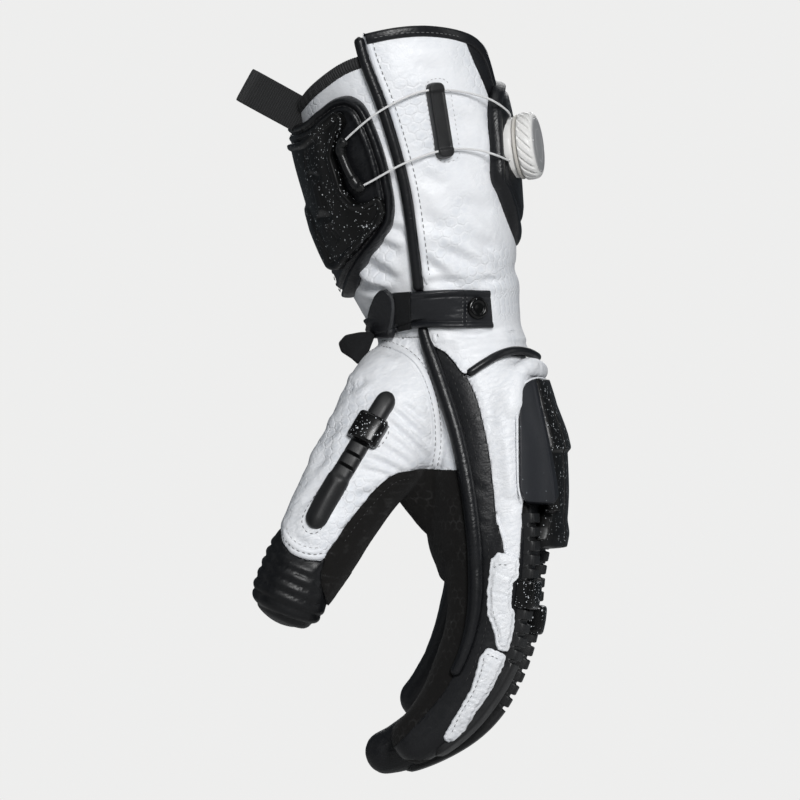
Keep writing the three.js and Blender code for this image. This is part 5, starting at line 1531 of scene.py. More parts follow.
# %% The hard plate
plate_outline = rounded_outline(CUFF_PLATE, 300, 4)
BOSS = [[-53.6, 52.4], [-50.2, 53.0], [-46.9, 41.0], [-50.2, 40.2]]
BOSS_ENDS = ([-54.6, 55.6, -51.4, 54.6], [-50.4, 38.2, -46.9, 38.4])
SHORT_GROOVES = ([-57.3, 64.5, -56.5, 58.0], [-55.8, 65.5, -55.4, 59.5],
                 [-46.9, 34.2, -43.2, 29.2], [-45.7, 35.0, -42.2, 30.4])


def plate_top(p, q, d, x, y, z):
    """A rim that slopes inwards to a floor, a boss, and grooves with soft sides."""
    flat = np.stack([x, y, z], -1)
    rim = PLATE_HEIGHT + 0.5 * (1 - smoothstep(1.5, 3.0, d)) - 1.6 * smoothstep(-48, -60, x)
    floor = -0.9 * smoothstep(2.4, 3.4, d)
    boss = 1.1 * smoothstep(-0.7, 0.9, from_outline(BOSS, x, z))
    ends = sum(-0.9 * np.exp(-(along_line(flat, a)[0] / 1.2) ** 2) for a in BOSS_ENDS)
    grooves = sum(-0.55 * np.exp(-(along_line(flat, a)[0] / 0.6) ** 2) for a in SHORT_GROOVES)
    return rim + floor + boss + ends + grooves


shell("cuff_plate_shell", on_hand, (0.4, 6.4), np.radians((50, 226)), inside_of(plate_outline, PAD_FAR_Y - 4),
      lambda p, q: PAD_HEIGHT - 1.4, plate_top, LACQUER, "cuff_plate", bevel=0.7, at=PLATE_HEIGHT, step=0.42,
      scored=(1.5, 2.0, 2.5, 3.0, 3.5))

# %% [markdown]
# The strap goes round the palm side of the wrist and closes beside the snap. Its long edges are folded
# and rolled, its end by the snap is thinner, and a stretch of it is hook-and-loop tape, beside which a
# tab with a raw edge lies. The end of the inner strap sticks out below as a soft leaf.

# %% The wrist strap
STRAP_UPPER = [[-70, -4.6], [-36, -4.2], [-32, -2.4], [-29, 3.0], [-24.5, 6.6], [-12.3, 7.9], [4, 9], [20.6, 8.8]]
STRAP_LOWER = [[22, -6.8], [4, -7], [-10.2, -6.8], [-30.7, -9.6], [-70, -12]]
STRAP = 1.9
strap_outline = np.array([*resample(STRAP_UPPER, count=40), *resample(STRAP_LOWER, count=40)])
strap_field = inside_of(strap_outline)


def strap_low(p, q):
    """The strap's underside: over the flap at the back, on the bare cuff at the palm."""
    degrees = np.abs((np.degrees(q) + 180) % 360 - 180)
    return FLAP + 0.9 + (0.3 - FLAP - 0.9) * smoothstep(104, 140, degrees)


def strap_edges(x, z):
    """Distance to the strap's upper or lower edge, whichever is nearer."""
    upper, lower = np.transpose(STRAP_UPPER), np.transpose(STRAP_LOWER[::-1])
    return np.minimum(np.interp(x, *upper) - z, z - np.interp(x, *lower))


def strap_top(p, q, d, x, y, z):
    """Rolled edges 2.6 mm wide, a flatter middle with fine creases, and thinner leather at the end."""
    edge = strap_edges(x, z)
    roll = (0.75 * bump_at(edge, 1.3, 1.0) - 0.35 * bump_at(edge, 2.9, 0.45)) * smoothstep(-31, -27, x)
    middle = smoothstep(3, 4.5, edge) * 0.07 * noise(np.stack([x * 0.5, y * 0.5, z * 2.2], -1), CRUMPLE)
    tape = smoothstep(-19.5, -18.6, x) - smoothstep(-12.4, -11.6, x)
    end = 0.5 * smoothstep(9.6, 10.4, x)
    thin = 0.7 * smoothstep(-24, -32, x)
    return strap_low(p, q) + STRAP + (roll * (1 - tape) + middle) * (1 - 0.5 * end) - 0.5 * tape - end - thin


shell("wrist_strap_leather", on_hand, (4.6, 7.4), np.radians((38, 322)), strap_field, strap_low, strap_top,
      BLACK_STRAP, "wrist_strap", bevel=0.9, at=STRAP + 2.2, step=0.5, scored=(1.3, 2.0, 2.9, 3.6))
STRAP_TAB = [
    [-31.4, -10.8], [-31.7, -7], [-31.2, -3], [-29.8, 2], [-27.8, 6.2], [-25.3, 8.6], [-22.6, 9.0], [-20.4, 7.4],
    [-18.9, 4.0], [-19.1, -3.0], [-20.8, -10.8],
]
tab_outline = rounded_outline(STRAP_TAB, 160, 4)
tab_low = lambda p, q: strap_low(p, q) + STRAP - 0.2
tab_top = lambda p, q, d, x, y, z: (strap_low(p, q) + STRAP + 2.2 + 0.3 * bump_at(z + 0.1 * x, -10.6, 0.7)
                                    - 0.5 * bump_at(z, -3.0, 0.8) * smoothstep(-25, -29, x))
shell("strap_tab_leather", on_hand, (4.6, 7.6), np.radians((60, 222)),
      inside_of(tab_outline, -6), tab_low, tab_top, BLACK_STRAP, "strap_tab", bevel=0.8, at=5.0, step=0.5)
tape_field = inside_of([[-19.4, 12], [-12, 12], [-12, -12], [-19.4, -12]], 0)
shell("strap_tape", on_hand, (4.6, 7.4), np.radians((60, 130)),
      lambda *place: np.minimum(strap_field(*place) + 0.2, tape_field(*place)),
      lambda p, q: strap_low(p, q) + 1.0, lambda p, q, d, x, y, z: strap_low(p, q) + 2.15, SUEDE_EDGE, (),
      bevel=0.4, at=STRAP + 2.2)
leaf_outline = rounded_outline([[-26, -8], [-32.8, -8.2], [-38.9, -9.4], [-41.8, -12.7], [-40.6, -16.4],
                                [-36.1, -19.3], [-33.6, -21.7], [-29.6, -17.5]], 120, 5)


def leaf(p, q, lift):
    """A cupped sheet across the view: y = -19.5 + 0.045 (x + 33)^2 + 0.14 (z + 13), less lift."""
    y = -19.5 + 0.045 * (p + 33) ** 2 + 0.14 * (q + 13) - lift
    return np.stack([p, y, q], -1)


shell("strap_end_leaf", leaf, (-43, -25), (-23, -6), inside_of(leaf_outline), lambda p, q: -1.1,
      lambda p, q, d, x, y, z: 1.1 + 0 * d, SUEDE_EDGE, "strap_end", bevel=0.9, step=0.4)
print("strap made")

# %% [markdown]
# Over the knuckles sits a hard guard. A white padded roll frames it: a soft sausage that comes up one
# side of the hand, crosses its back and goes down the other side. Seen from the thumb side the roll's
# and the guard's outlines are lines in x and z. How far out the hand lies behind such a point has a
# closed form: with u the distance from the middle line towards the back, n the section's power,
# y = wide * (1 - (u / thick)^n)^(1 / n).

# %% The guard's wall and its roll
GUARD_ROWS = [6.5, 7, 7.8, 8.7, 9.1, 9.25, 10, 11, 12]
GUARD_RISE = [1.0, 1.8, 4.3, 8.2, 11.3, 12.0, 11.4, 10.2, 8]


def guard_rise(v):
    """Height of the guard over the back of the hand, by row."""
    return np.interp(v, GUARD_ROWS, GUARD_RISE)


STATIONS = np.linspace(0, len(HAND) - 1, 400)
STATION_RUN = run_of(section(HAND, STATIONS)[0])


def side_of_hand(x, z, back_lift, side_lift):
    """How far out, towards the thumb, the hand's surface lies at x and z, once it is lifted; 0 outside."""
    x, z = np.broadcast_arrays(np.asarray(x, float), np.asarray(z, float))
    flat = np.stack([x.ravel(), 0 * x.ravel(), z.ravel()], -1)
    run, _, out, *_ = unrolled(HAND, flat, 700)
    v = np.interp(run, STATION_RUN, STATIONS)
    _, _, _, thick, wide, power, _ = rows_at(HAND, v).T
    share = np.clip(np.abs(out) / (thick + back_lift(v)), 0, 1)
    return ((wide + side_lift) * (1 - share**power) ** (1 / power)).reshape(x.shape)


def over_the_hand(line, y, rounds, step):
    """A line of the thumb side that lies y out, joined to its mirror image on the far side."""
    half = np.stack([line[:, 0], -y, line[:, 1]], -1)
    half[-1, 1] = 0
    half = softened(half, rounds)
    return resample(np.vstack([half, half[::-1][1:] * (1, -1, 1)]), step=step)


roll_line = resample(smooth(ROLL_LINE, 80), step=0.5)
roll_y = side_of_hand(*roll_line.T, lambda v: 3.4, -0.8) - 2.6 * smoothstep(-24, -36, roll_line[:, 1])
roll_path = softened(over_the_hand(roll_line, roll_y, 12, 0.9), 10)
run, high = np.arange(len(roll_path)) * 0.9, roll_path[:, 2]
size = np.where(high > -27, np.interp(np.abs(roll_path[:, 1]), [0, 18, 30], [4.2, 4.2, 3.8]),
                np.interp(high, [-50, -44, -37, -31, -27], [0.4, 1.0, 2.0, 3.2, 3.9]))
size = size * (1 + 0.035 * np.sin(run * 1.1) * np.sin(run * 0.37))
points, faces = sweep(roll_path, circle(1.0, 30), scale=size)
piece("knuckle_roll_leather", points, faces, WHITE_WRINKLED, "knuckle_roll", fill=0.8)

edge_line = resample(smooth([[33.2, -77.6], [31.8, -72], [31.4, -60], [31.3, -44], [31.6, -36], [33.0, -31.0],
                             [36.6, -27.9], [40.4, -27.0], [43.6, -27.6]], 80), step=0.5)
edge_y = side_of_hand(*edge_line.T, lambda v: guard_rise(v) * 0.9, 1.9)
edge_path = softened(over_the_hand(edge_line, edge_y, 0, 0.7), 8)
run = np.arange(len(edge_path)) * 0.7
points, faces = sweep(edge_path, circle(0.42, 10), scale=np.clip(np.minimum(run, run[::-1]) / 3, 0.3, 1))
piece("guard_edge_piping", points, faces, WHITE_WRINKLED)

wall_outline = rounded_outline([[31.6, -73], [31.6, -36.1], [32.8, -30.7], [36.9, -27.6], [39.9, -26.6],
                                [41.4, -34], [45.5, -52.5], [48.4, -68.9], [49.2, -75.6], [46.5, -79.0],
                                [34.8, -78.5]], 260, 5)
RECESS_LINE = [[37.8, -24], [39.6, -34], [43.4, -52.5], [46.2, -68.9], [47.0, -76.5], [44.5, -90]]


def wall_surface(p, q, lift):
    """The wall's face: x, z, and the side of the lifted hand."""
    return np.stack([p, -side_of_hand(p, q, guard_rise, 2.2) - lift, q], -1)


def wall_top(p, q, d, x, y, z):
    """Level, with a fine bevel line near the plate and two small holes beside it."""
    ridge_away = from_outline([*RECESS_LINE, (HUGE, -90), (HUGE, -24)], x, z)
    bevel_line = 0.45 * np.exp(-(ridge_away / 0.5) ** 2) - 0.9 * smoothstep(0.2, 1.2, ridge_away)
    holes = sum(-1.6 * np.exp(-(((x - a) ** 2 + (z - b) ** 2) / 0.45) ** 2)
                for a, b in ((44.6, -45.5), (47.4, -53.6)))
    return bevel_line + holes


shell("guard_wall", wall_surface, (30, 51), (-80.5, -25), inside_of(wall_outline), lambda p, q: -7.0, wall_top,
      GUARD_RUBBER, "guard_base", bevel=1.3, step=0.42, scored=(1.0,))
shell("guard_wall_far", lambda p, q, lift: wall_surface(p, q, lift) * (1, -1, 1), (30, 51), (-80.5, -25),
      inside_of(wall_outline), lambda p, q: -7.0, lambda *a: 0 * a[2], GUARD_RUBBER, "guard_base",
      bevel=1.3, step=0.6)
print("roll and wall made")

# %% The guard's plate
def plate_height(p, q, d, x, y, z):
    """The plate: full height above the step, 1.5 mm lower below it, with three grooves between the ribs."""
    step = 1.5 * smoothstep(-55.8, -57.8, z) * (1 - smoothstep(-84, -92, z))
    grooves = sum(np.exp(-(np.abs(y - g) / 0.85) ** 3) for g in (-22.5, 0.5, 23.0)) * smoothstep(-34, -37, z)
    return guard_rise(p) + 0.15 - step - 1.9 * grooves


def guard_surface(p, q, lift):
    """The hand's surface lifted by lift towards the back, and in proportion, up to 2.2, to the side."""
    return on_tube(HAND, CAPS["hand"], p, q, lift, np.minimum(lift, 2.2 * lift / np.maximum(guard_rise(p), 1)))


plate_line = smooth([[38.5, -20], [41, -34], [45.1, -52.5], [48, -68.9], [49.6, -81.2]], 40)
guard_plate_outline = np.array([[38.7, -26.8], [39.2, -27.6], *plate_line[plate_line[:, 1] < -28.5],
                                [46.4, -83.4], [44.2, -88], [42.5, -93], [43.3, -96.2], [47, -97.0],
                                [75, -97.0], [75, -27.4], [43, -27.2]])
shell("guard_cap", guard_surface, (7.1, 11.95), np.radians((-90, 90)),
      inside_of(guard_plate_outline), lambda p, q: np.minimum(guard_rise(p) - 2.4, 3.4 + 0 * p), plate_height,
      LACQUER, "guard_plate", bevel=0.7, at=guard_rise, step=0.5)


def tree_of(*names):
    """A search tree over finished pieces, in millimetres."""
    points, faces = together([arrays_of(bpy.data.objects[name].data) for name in names])
    return BVHTree.FromPolygons(points.tolist(), faces.tolist())


print("guard made")

# %% [markdown]
# A notched spine runs down the back of the thumb and of every finger, with a lacquered clip round it.
# The spine is a rounded ridge whose height and width are functions of the distance along the finger:
# a slot every 5.6 mm, three of them on the thumb, then a smooth tail. The clip is the same ridge, larger,
# over a short length.

# %% Spines and clips
def ridge(path, outs, s, height, width, foot, power, count):
    """Rings of a ridge: at run s a half superellipse, width wide and height high, on a flat foot."""
    run = run_of(path)
    middle, out = taken(path, run, s), taken(outs, run, s)
    along = unit(taken(np.gradient(path, axis=0), run, s))
    out = unit(out - along * np.sum(out * along, -1, keepdims=True))
    a, power = np.linspace(0, np.pi, count)[None], np.broadcast_to(power, len(s))[:, None]
    sides = np.tile([-1.0, 1.0], (len(s), 1))
    u = np.c_[bend(np.cos(a), power), sides] * width[:, None] / 2
    h = np.c_[bend(np.sin(a), power) * height[:, None], foot * np.abs(sides)]
    return middle[:, None] + np.cross(along, out)[:, None] * u[..., None] + out[:, None] * h[..., None]


SPINE_WIDTH, STRIP, TOOTH, TOOTH_LENGTH, SLOT, LEAD, TIP = 9.4, 1.9, 3.9, 4.1, 1.5, 0.6, 1.2


def spine_heights(length, teeth):
    """Run and height of a spine: slots with round bottoms between teeth, then a tail that thins."""
    pitch, wide = TOOTH_LENGTH + SLOT, TOOTH_LENGTH
    corners = [0.0, 0.12, 0.45, wide - 0.45, wide - 0.12, wide, wide + 0.2, wide + SLOT / 2, pitch - 0.2]
    s = (LEAD + pitch * np.arange(teeth)[:, None] + np.array(corners)).ravel()
    tooth = [STRIP + 0.6, TOOTH - 0.35, TOOTH]
    h = np.tile([*tooth, *tooth[::-1], STRIP + 0.15, STRIP, STRIP + 0.15], teeth)
    tail, more = LEAD + pitch * teeth + 0.05, np.linspace(0, 1, 26)
    return np.r_[s, tail + (length - tail) * more], np.r_[h, TIP + (TOOTH - 0.1 - TIP) * (1 - more) ** 0.8]


def rounded_end(s, length, over):
    """A quarter circle that brings a width or height down at the end of the run."""
    t = np.clip((length - s) / over, 0, 1)
    return np.sqrt(np.maximum(1 - (1 - t) ** 2, 0.05**2))


def ridge_piece(name, kind, material, smooth_angle, *shape):
    """A piece made of one ridge."""
    points, faces = closed_rings(ridge(*shape))
    piece(f"{name}_{kind}", points, faces, material, f"{name}_{kind.split('_')[0]}", smooth_angle=smooth_angle)


def clip_piece(name, path, outs, at, long, wide, high, power):
    """The clip: a boxy ridge with rounded ends."""
    t = np.r_[0, np.geomspace(0.06, 1, 5)] * 1.3
    edge = np.sqrt(np.maximum(1 - (1 - t / 1.3) ** 2, 0)) * 1.1
    s = np.r_[t, np.linspace(1.6, long - 1.6, 7), long - t[::-1]]
    less = 1.1 - np.r_[edge, np.full(7, 1.1), edge[::-1]]
    belly = 0.3 * np.sin(np.pi * s / long)
    ridge_piece(name, "clip_shell", LACQUER_FINE, 50, path, outs, at - long / 2 + s, high - less + belly,
                wide - 2 * less, -1.4, power, 30)


FIRST_ROW = 0.2
for name, last_row, teeth, clip_row in (("index", 7.6, 11, 2.42), ("middle", 8.3, 15, 3.02), ("ring", 6.6, 10, 2.5),
                                        ("little", 5.6, 7, 2.2)):
    centre, _, back, *_ = section(FINGERS[name], np.linspace(FIRST_ROW, last_row, 60))
    path = softened(rays(skin_tree, centre + back * 60, -back)[0], 12)
    length = run_of(path)[-1]
    s, h = spine_heights(length, teeth)
    end = rounded_end(s, length, 4.5)
    wide = (SPINE_WIDTH - 0.35 * (h > STRIP + 0.3)) * end
    ridge_piece(name, "spine_ridge", RUBBER, 38, path, back, s, h * np.sqrt(end), wide, -1.2, 5.0, 22)
    clip_at = length * (clip_row - FIRST_ROW) / (last_row - FIRST_ROW)
    clip_piece(name, path, back, clip_at, 11.5, 13.3, 5.6, 4.2)

THUMB_SPINE = [[-20.2, -33.6], [-26.6, -43.8], [-37.3, -61.7], [-45.9, -75.8], [-52.3, -88.2]]
path = softened(seen_from_thumb(resample(smooth(THUMB_SPINE), step=0.8))[0], 10)
outs = np.tile(unit(np.array([[-0.18, -1.0, 0.06]])), (len(path), 1))
length = run_of(path)[-1]
SLOTS = 25.6 + 5.7 * np.arange(3)[:, None]  # the slots' middles along the thumb's spine
s = np.sort(np.r_[np.linspace(0, length, 70), np.linspace(0, 3, 12), np.linspace(length - 6, length, 14),
                  (SLOTS + np.array([-1.1, -1.0, -0.8, -0.4, 0.0, 0.3, 0.5, 0.62])).ravel()])
notch = (smoothstep(SLOTS - 1.2, SLOTS - 0.1, s) * (s < SLOTS + 0.55)).max(0)
body = np.interp(s, [0, 6, 24, 41, 43, 52, length], [3.9, 4.1, 3.6, 3.6, 4.6, 4.2, 3.0])
ends = np.sqrt(np.clip(1 - (1 - np.clip(s / 4.6, 0, 1)) ** 2, 0.02, 1)) * rounded_end(s, length, 5.2)
wide = np.interp(s, [0, 8, 24, 41.0, 42.5, 52, length], [8.0, 8.2, 8.2, 8.4, 9.4, 9.7, 9.2]) * ends
crest = np.interp(s, [0, 41, 46, length], [3.0, 3.0, 1.75, 1.75])
ridge_piece("thumb", "spine_ridge", RUBBER, 35, path, outs, s, (body - 2.1 * notch) * np.sqrt(ends), wide, -1.0,
            crest, 27)
clip_piece("thumb", path, outs, 18.6, 12.2, 13.4, 5.4, 3.2)
print("spines and clips made")

# %% [markdown]
# Two white strips are sewn on the index finger. They are patches on the finger's own surface. Their
# borders are raw and lie lower than the puffed middle, and fine creases run across them.

# %% White strips on the index finger
STRIP_ONE = [
    [23.6, -97.9], [32.6, -100.2], [32.4, -108.4], [29.9, -110.6], [29.3, -120.4], [31.0, -123.0], [30.4, -130.5],
    [28.0, -139.4], [23.0, -137.4], [22.2, -131.0], [18.9, -123.4], [18.9, -113.5], [20.4, -101.3],
]
STRIP_TWO = [
    [19.6, -136.8], [27.4, -140.3], [26.2, -144.9], [20.2, -156.6], [14.3, -164.6], [12.7, -169.0], [12.3, -172.6],
    [8.6, -175.8], [5.4, -178.4], [1.5, -174.4], [2.6, -171.8], [6.7, -164.4], [12.3, -154.5], [15.5, -144],
    [15.9, -140.6],
]
index_surface = lambda p, q, lift: on_tube(FINGERS["index"], CAPS["index"], p, q, lift)


def strip_top(p, q, d, x, y, z):
    """A raw border 1.3 mm wide lies lower; inside it the leather is puffed between its stitches."""
    flat = np.stack([x, y, z], -1)
    creased = -0.22 * np.exp(-(noise((flat + flat[:, ::-1] * 0.3) * (0.3, 0.3, 1.2), CRUMPLE) / 0.3) ** 2)
    return 0.7 + 0.75 * smoothstep(1.0, 2.6, d) + (creased + 0.06 * noise(flat, FINE)) * smoothstep(0.8, 2.0, d)


for name, outline in (("index_strip_upper", STRIP_ONE), ("index_strip_lower", STRIP_TWO)):
    strip_outline = rounded_outline(outline, 200, 5)
    wavy = lambda x, y, z, line=strip_outline: np.minimum(
        from_outline(line, x, z) + 0.18 * noise(np.stack([x, y, z], -1), FINE), -34.5 - y)
    shell(name + "_leather", index_surface, (1.0, 8.6), np.radians((18, 168)), wavy, lambda p, q: -0.4, strip_top,
          WHITE_WRINKLED, name, bevel=0.5, at=0.8, step=0.4, scored=(1.0, 1.8, 2.6))

# %% [markdown]
# On the flap a rubber guide holds the two runs of the lace apart, and a soft leather pad carries the dial.

# %% Lace guide, dial pad and press stud
guide_top, guide_foot = np.array([-1.6, 93.5]), np.array([3.3, 62.3])
guide_axis = (guide_foot - guide_top) / np.linalg.norm(guide_foot - guide_top)
guide_side = np.array([-guide_axis[1], guide_axis[0]]) * 3.65
ROUND_END = ((1, 2), (0.72, 0.4), (0, 0), (-0.72, 0.4), (-1, 2))
corners = [end + sign * (a * guide_side + b * guide_axis) for end, sign in ((guide_top, 1), (guide_foot, -1))
           for a, b in ROUND_END]
guide_outline = rounded_outline(corners, 150, 3)


def guide_height(p, q, d, x, y, z):
    """A bar with a shallow channel down its middle and two raised ends."""
    along = (np.stack([x, z], -1) - guide_top) @ guide_axis
    ends = smoothstep(4.6, 3.4, along) + smoothstep(27.0, 28.2, along)
    return FLAP + 3.6 + 0.5 * ends - 0.35 * smoothstep(1.1, 1.7, d) * (1 - np.clip(ends, 0, 1))


shell("lace_guide_bar", on_hand, (0.2, 3.4), np.radians((60, 120)), inside_of(guide_outline), lambda p, q: FLAP - 0.4,
      guide_height, RUBBER, "lace_guide", bevel=1.0, at=FLAP + 4, step=0.34, scored=(1.1, 1.7))
DIAL_PAD = [[26.6, 96.9], [24.0, 92.5], [22.0, 83.5], [22.3, 64.4], [23.0, 54.1], [26.0, 48], [30.2, 37.7],
            [34.4, 28.3]]
dial_line = smooth(DIAL_PAD)
dial_outline = np.array([*dial_line, [70, 20], [70, 88], [37, 90], [33, 94.6], [29.6, 97.2]])


def dial_pad_top(p, q, d, x, y, z):
    """Thick over the dial's seat, thin at its lower point, with a rolled border and a sewn valley."""
    rise = np.interp(p, [0.7, 1.5, 3.0, 3.7, 4.3], [2.4, 6.6, 7.6, 7.0, 4.6])
    roll = 0.55 * bump_at(d, 1.5, 1.0) - 0.7 * bump_at(d, 3.2, 0.5)
    return rise - 0.5 + roll


shell("dial_pad_leather", on_hand, (0.3, 4.6), np.radians((-118, 118)),
      inside_of(dial_outline), lambda p, q: FLAP - 0.4, dial_pad_top, BLACK_SMOOTH, "dial_pad",
      bevel=1.6, at=FLAP + 3, step=0.6, scored=(2.2, 2.8, 3.2, 3.6, 4.2), fill=0.8)

SNAP = [15.2, 1.4]
strap_tree = tree_of("wrist_strap_leather")
place, normal = seen_from_thumb([SNAP], strap_tree)


def lathe(name, profile, place, axis, material, node, body="glove", count=48, shape=None, smooth_angle=40):
    """A turned piece: rows of (radius, height) round an axis; shape(height, angle) scales the radius."""
    radius, height = np.asarray(profile, float).T
    axis = np.asarray(axis) / np.linalg.norm(axis)
    first = unit(np.cross(axis, [0.0, 0, 1]))
    second = np.cross(axis, first)
    h, a = np.meshgrid(height, np.linspace(0, 2 * np.pi, count, endpoint=False), indexing="ij")
    r = radius[:, None] * (shape(h, a) if shape else 1 + 0 * a)
    h, a, r = h[..., None], a[..., None], r[..., None]
    points, faces = closed_rings(np.asarray(place) + axis * h + (first * np.cos(a) + second * np.sin(a)) * r)
    piece(name, points, faces, material, node, body=body, smooth_angle=smooth_angle)


lathe("snap_cap", [[4.2, -0.6], [4.5, 0.0], [4.6, 0.5], [4.3, 1.15], [3.8, 1.5], [3.2, 1.6], [2.7, 1.4], [2.4, 1.05],
                   [2.2, 1.0], [1.2, 1.25], [0.4, 1.35], [0.05, 1.36]],
      place[0], normal[0], LACQUER_QUIET, "snap_stud")
print("guide, dial pad and stud made")

# %% [markdown]
# The lace leaves the dial, runs over the guide, round the plate's hook and back. The hook is a moulded
# tube: thick at its two mouths, a little thinner round its corners and thinnest between them.

# %% Lace and hook
LACE = np.array([
    [28.2, 77.9, 0, -17.8], [28.2, 81.5, 0, -22.8], [21.5, 86.2, 0, -33], [12.3, 89, 7.6, 0], [1, 90.2, 5.6, 0],
    [-10.2, 88.6, 5.2, 0], [-25.4, 80.8, 6.8, 0], [-37.6, 70.8, 7.9, 0], [-40.6, 66.4, 8.2, 0], [-38.9, 60.4, 8.2, 0],
    [-36.4, 55.2, 8.2, 0], [-33.4, 51.0, 8.0, 0], [-29.8, 52.0, 7.6, 0], [-14.3, 60.3, 6.2, 0], [1.4, 65.6, 5.6, 0],
    [14.3, 66, 7.8, 0], [22.5, 64, 0, -36.5], [27.4, 62.2, 0, -28.6], [28.6, 62, 0, -25.2],
])
places, _ = seen_from_thumb(LACE[:, :2])
lifted = LACE[:, 2] > 0
lace_points = np.stack([LACE[:, 0], np.where(lifted, places[:, 1] - LACE[:, 2], LACE[:, 3]), LACE[:, 1]], -1)
dense = rows_at(lace_points, np.linspace(0, len(LACE) - 1, 60 * len(LACE)))
lace_path = resample(dense, step=0.7)
points, faces = sweep(lace_path, circle(0.46, 12))
run = np.arange(len(lace_path)) * 0.7
piece("lace_cord", points, faces, LACE_BRAID, "lace", uv=round_the_tube(run, 12, 2.9))
first, last = (np.argmin(np.linalg.norm(lace_path[:, [0, 2]] - end, axis=1))
               for end in ((-38.6, 70.2), (-30.6, 51.0)))
part = resample(lace_path[first:last + 1], count=60)
size = np.linspace(0, 1, len(part))
radius = np.interp(size, [0, 0.02, 0.10, 0.13, 0.26, 0.29, 0.70, 0.73, 0.88, 0.91, 0.98, 1.0],
                   [1.4, 2.3, 2.4, 2.1, 2.2, 1.75, 1.75, 2.2, 2.1, 2.4, 2.3, 1.4])
rings, faces = sweep(part, circle(1.0, 20), scale=radius)
piece("lace_hook_tube", rings, faces, HOOK_PLASTIC, "lace_hook", smooth_angle=45)
print("lace, mm:", round(run[-1], 1))

# %% [markdown]
# The dial has a faceted white base, a ring, a knob with slanting grooves and a grey cap. Its stem can be
# pulled out and its knob turns, so those pieces ride on their own bodies.

# %% The dial
DIAL_AT, DIAL_AXIS = np.array([27.6, -14, 67.1]), np.array([0.972, -0.2, 0.121])


def polygon(sides, soft=0.0):
    """Scales a radius to a polygon's: cos(pi/n) / cos(angle from the nearest side's middle)."""
    half = np.pi / sides
    return lambda h, a: 1 + (1 - soft) * (np.cos(half) / np.cos((a + half) % (2 * half) - half) - 1)


lathe("dial_base_housing",
      [[11.0, -3.6], [12.6, -3.2], [12.9, 0.0], [13.0, 2.6], [12.7, 3.6], [12.0, 4.4], [9.0, 4.45]],
      DIAL_AT, DIAL_AXIS, WHITE_PLASTIC, "dial_base", count=96, shape=polygon(12, 0.35), smooth_angle=24)
lathe("dial_flange_ring", [[10.0, 4.6], [12.9, 4.65], [13.3, 4.95], [13.3, 5.7], [12.9, 5.95], [10.0, 6.0]],
      DIAL_AT, DIAL_AXIS, CREAM_PLASTIC, "dial_flange", count=72)
knob_profile = np.array([[11.6, 6.25], [12.9, 6.3], [13.4, 6.7], [13.85, 7.4], [13.9, 8.4], [13.9, 9.6], [13.8, 10.8],
                         [13.6, 11.6], [13.1, 12.3], [12.4, 12.9], [11.8, 13.1], [11.4, 13.0], [11.3, 12.3]])


def knurled(h, a):
    """Twenty grooves that lean: a narrow dip where cos(20 (angle - twist)) is near 1."""
    wave = np.cos(20 * (a - 0.085 * (h - 6.3)))
    deep = smoothstep(6.6, 7.6, h) * (1 - smoothstep(11.2, 12.6, h))
    return 1 - 0.065 * deep * smoothstep(0.0, 0.95, wave)


h = np.linspace(7.0, 12.8, 16)
between = np.stack([np.interp(h, *knob_profile[:-2, ::-1].T), h], -1)
dense = np.vstack([knob_profile[:3], between, knob_profile[-3:]])
lathe("dial_knob_grip", dense, DIAL_AT, DIAL_AXIS, WHITE_PLASTIC, "dial_knob", body="dial_knob", count=256,
      shape=knurled, smooth_angle=38)


def notched(h, a):
    """Four small notches in the cap's rim."""
    return 1 - 0.06 * smoothstep(0.96, 0.99, np.cos(4 * a + 0.6))


lathe("dial_cap_disc", [[11.2, 11.9], [11.25, 12.9], [11.0, 13.3], [10.4, 13.42], [7.0, 13.42], [6.8, 13.3],
                        [6.5, 13.3], [6.3, 13.42], [1.0, 13.42]],
      DIAL_AT, DIAL_AXIS, GREY_CAP, "dial_cap", body="dial_knob", count=160, shape=notched, smooth_angle=30)
lathe("dial_spindle_rod", [[4.6, 1.6], [5.0, 2.0], [5.0, 10.3], [4.6, 10.7]], DIAL_AT, DIAL_AXIS, GREY_CAP,
      "dial_spindle", body="dial_stem", count=40)
print("dial made")

# %% [markdown]
# The pull loop is woven tape bent into a drop and sewn down at its root. Its path is a drop-shaped
# curve; a flat profile runs along it.

# %% The pull loop
LOOP_ROOT, LOOP_END, LOOP_Y = np.array([-50.5, 77.2]), np.array([-80.4, 93.6]), -14
LOOP_WIDTH, LOOP_BELLY, CLOTH = 14.6, 5.4, 1.5
loop_length = np.linalg.norm(LOOP_END - LOOP_ROOT)
axis = (LOOP_END - LOOP_ROOT) / loop_length
bend_at = loop_length - LOOP_BELLY
half = LOOP_BELLY - CLOTH / 2
t = np.linspace(0, 1, 40)
low_side = np.stack([t * bend_at, -(0.9 + (half - 0.9) * smoothstep(0.1, 1.0, t))], -1)
a = np.linspace(-np.pi / 2, np.pi / 2, 24)[1:-1]
round_end = np.stack([bend_at + half * np.cos(a), half * np.sin(a)], -1)
drop = resample(np.vstack([low_side, round_end, low_side[::-1] * (1, -1)]), step=0.8)
out, across = drop.T
loop_path = np.stack([LOOP_ROOT[0] + axis[0] * out, LOOP_Y + across, LOOP_ROOT[1] + axis[1] * out], -1)
wide_way = np.array([-axis[1], 0, axis[0]])
along = unit(np.gradient(loop_path, axis=0))
thick_way = np.cross(along, wide_way)
t = np.linspace(0, 2 * np.pi, 28, endpoint=False)
wide, thick = bend(np.cos(t), 9) * LOOP_WIDTH / 2, bend(np.sin(t), 5) * CLOTH / 2
points, faces = closed_rings(loop_path[:, None] + wide_way * wide[:, None] + thick_way[:, None] * thick[:, None])
run = np.arange(len(loop_path)) * 0.8
loop_uv = round_the_tube(run, 28, 1)
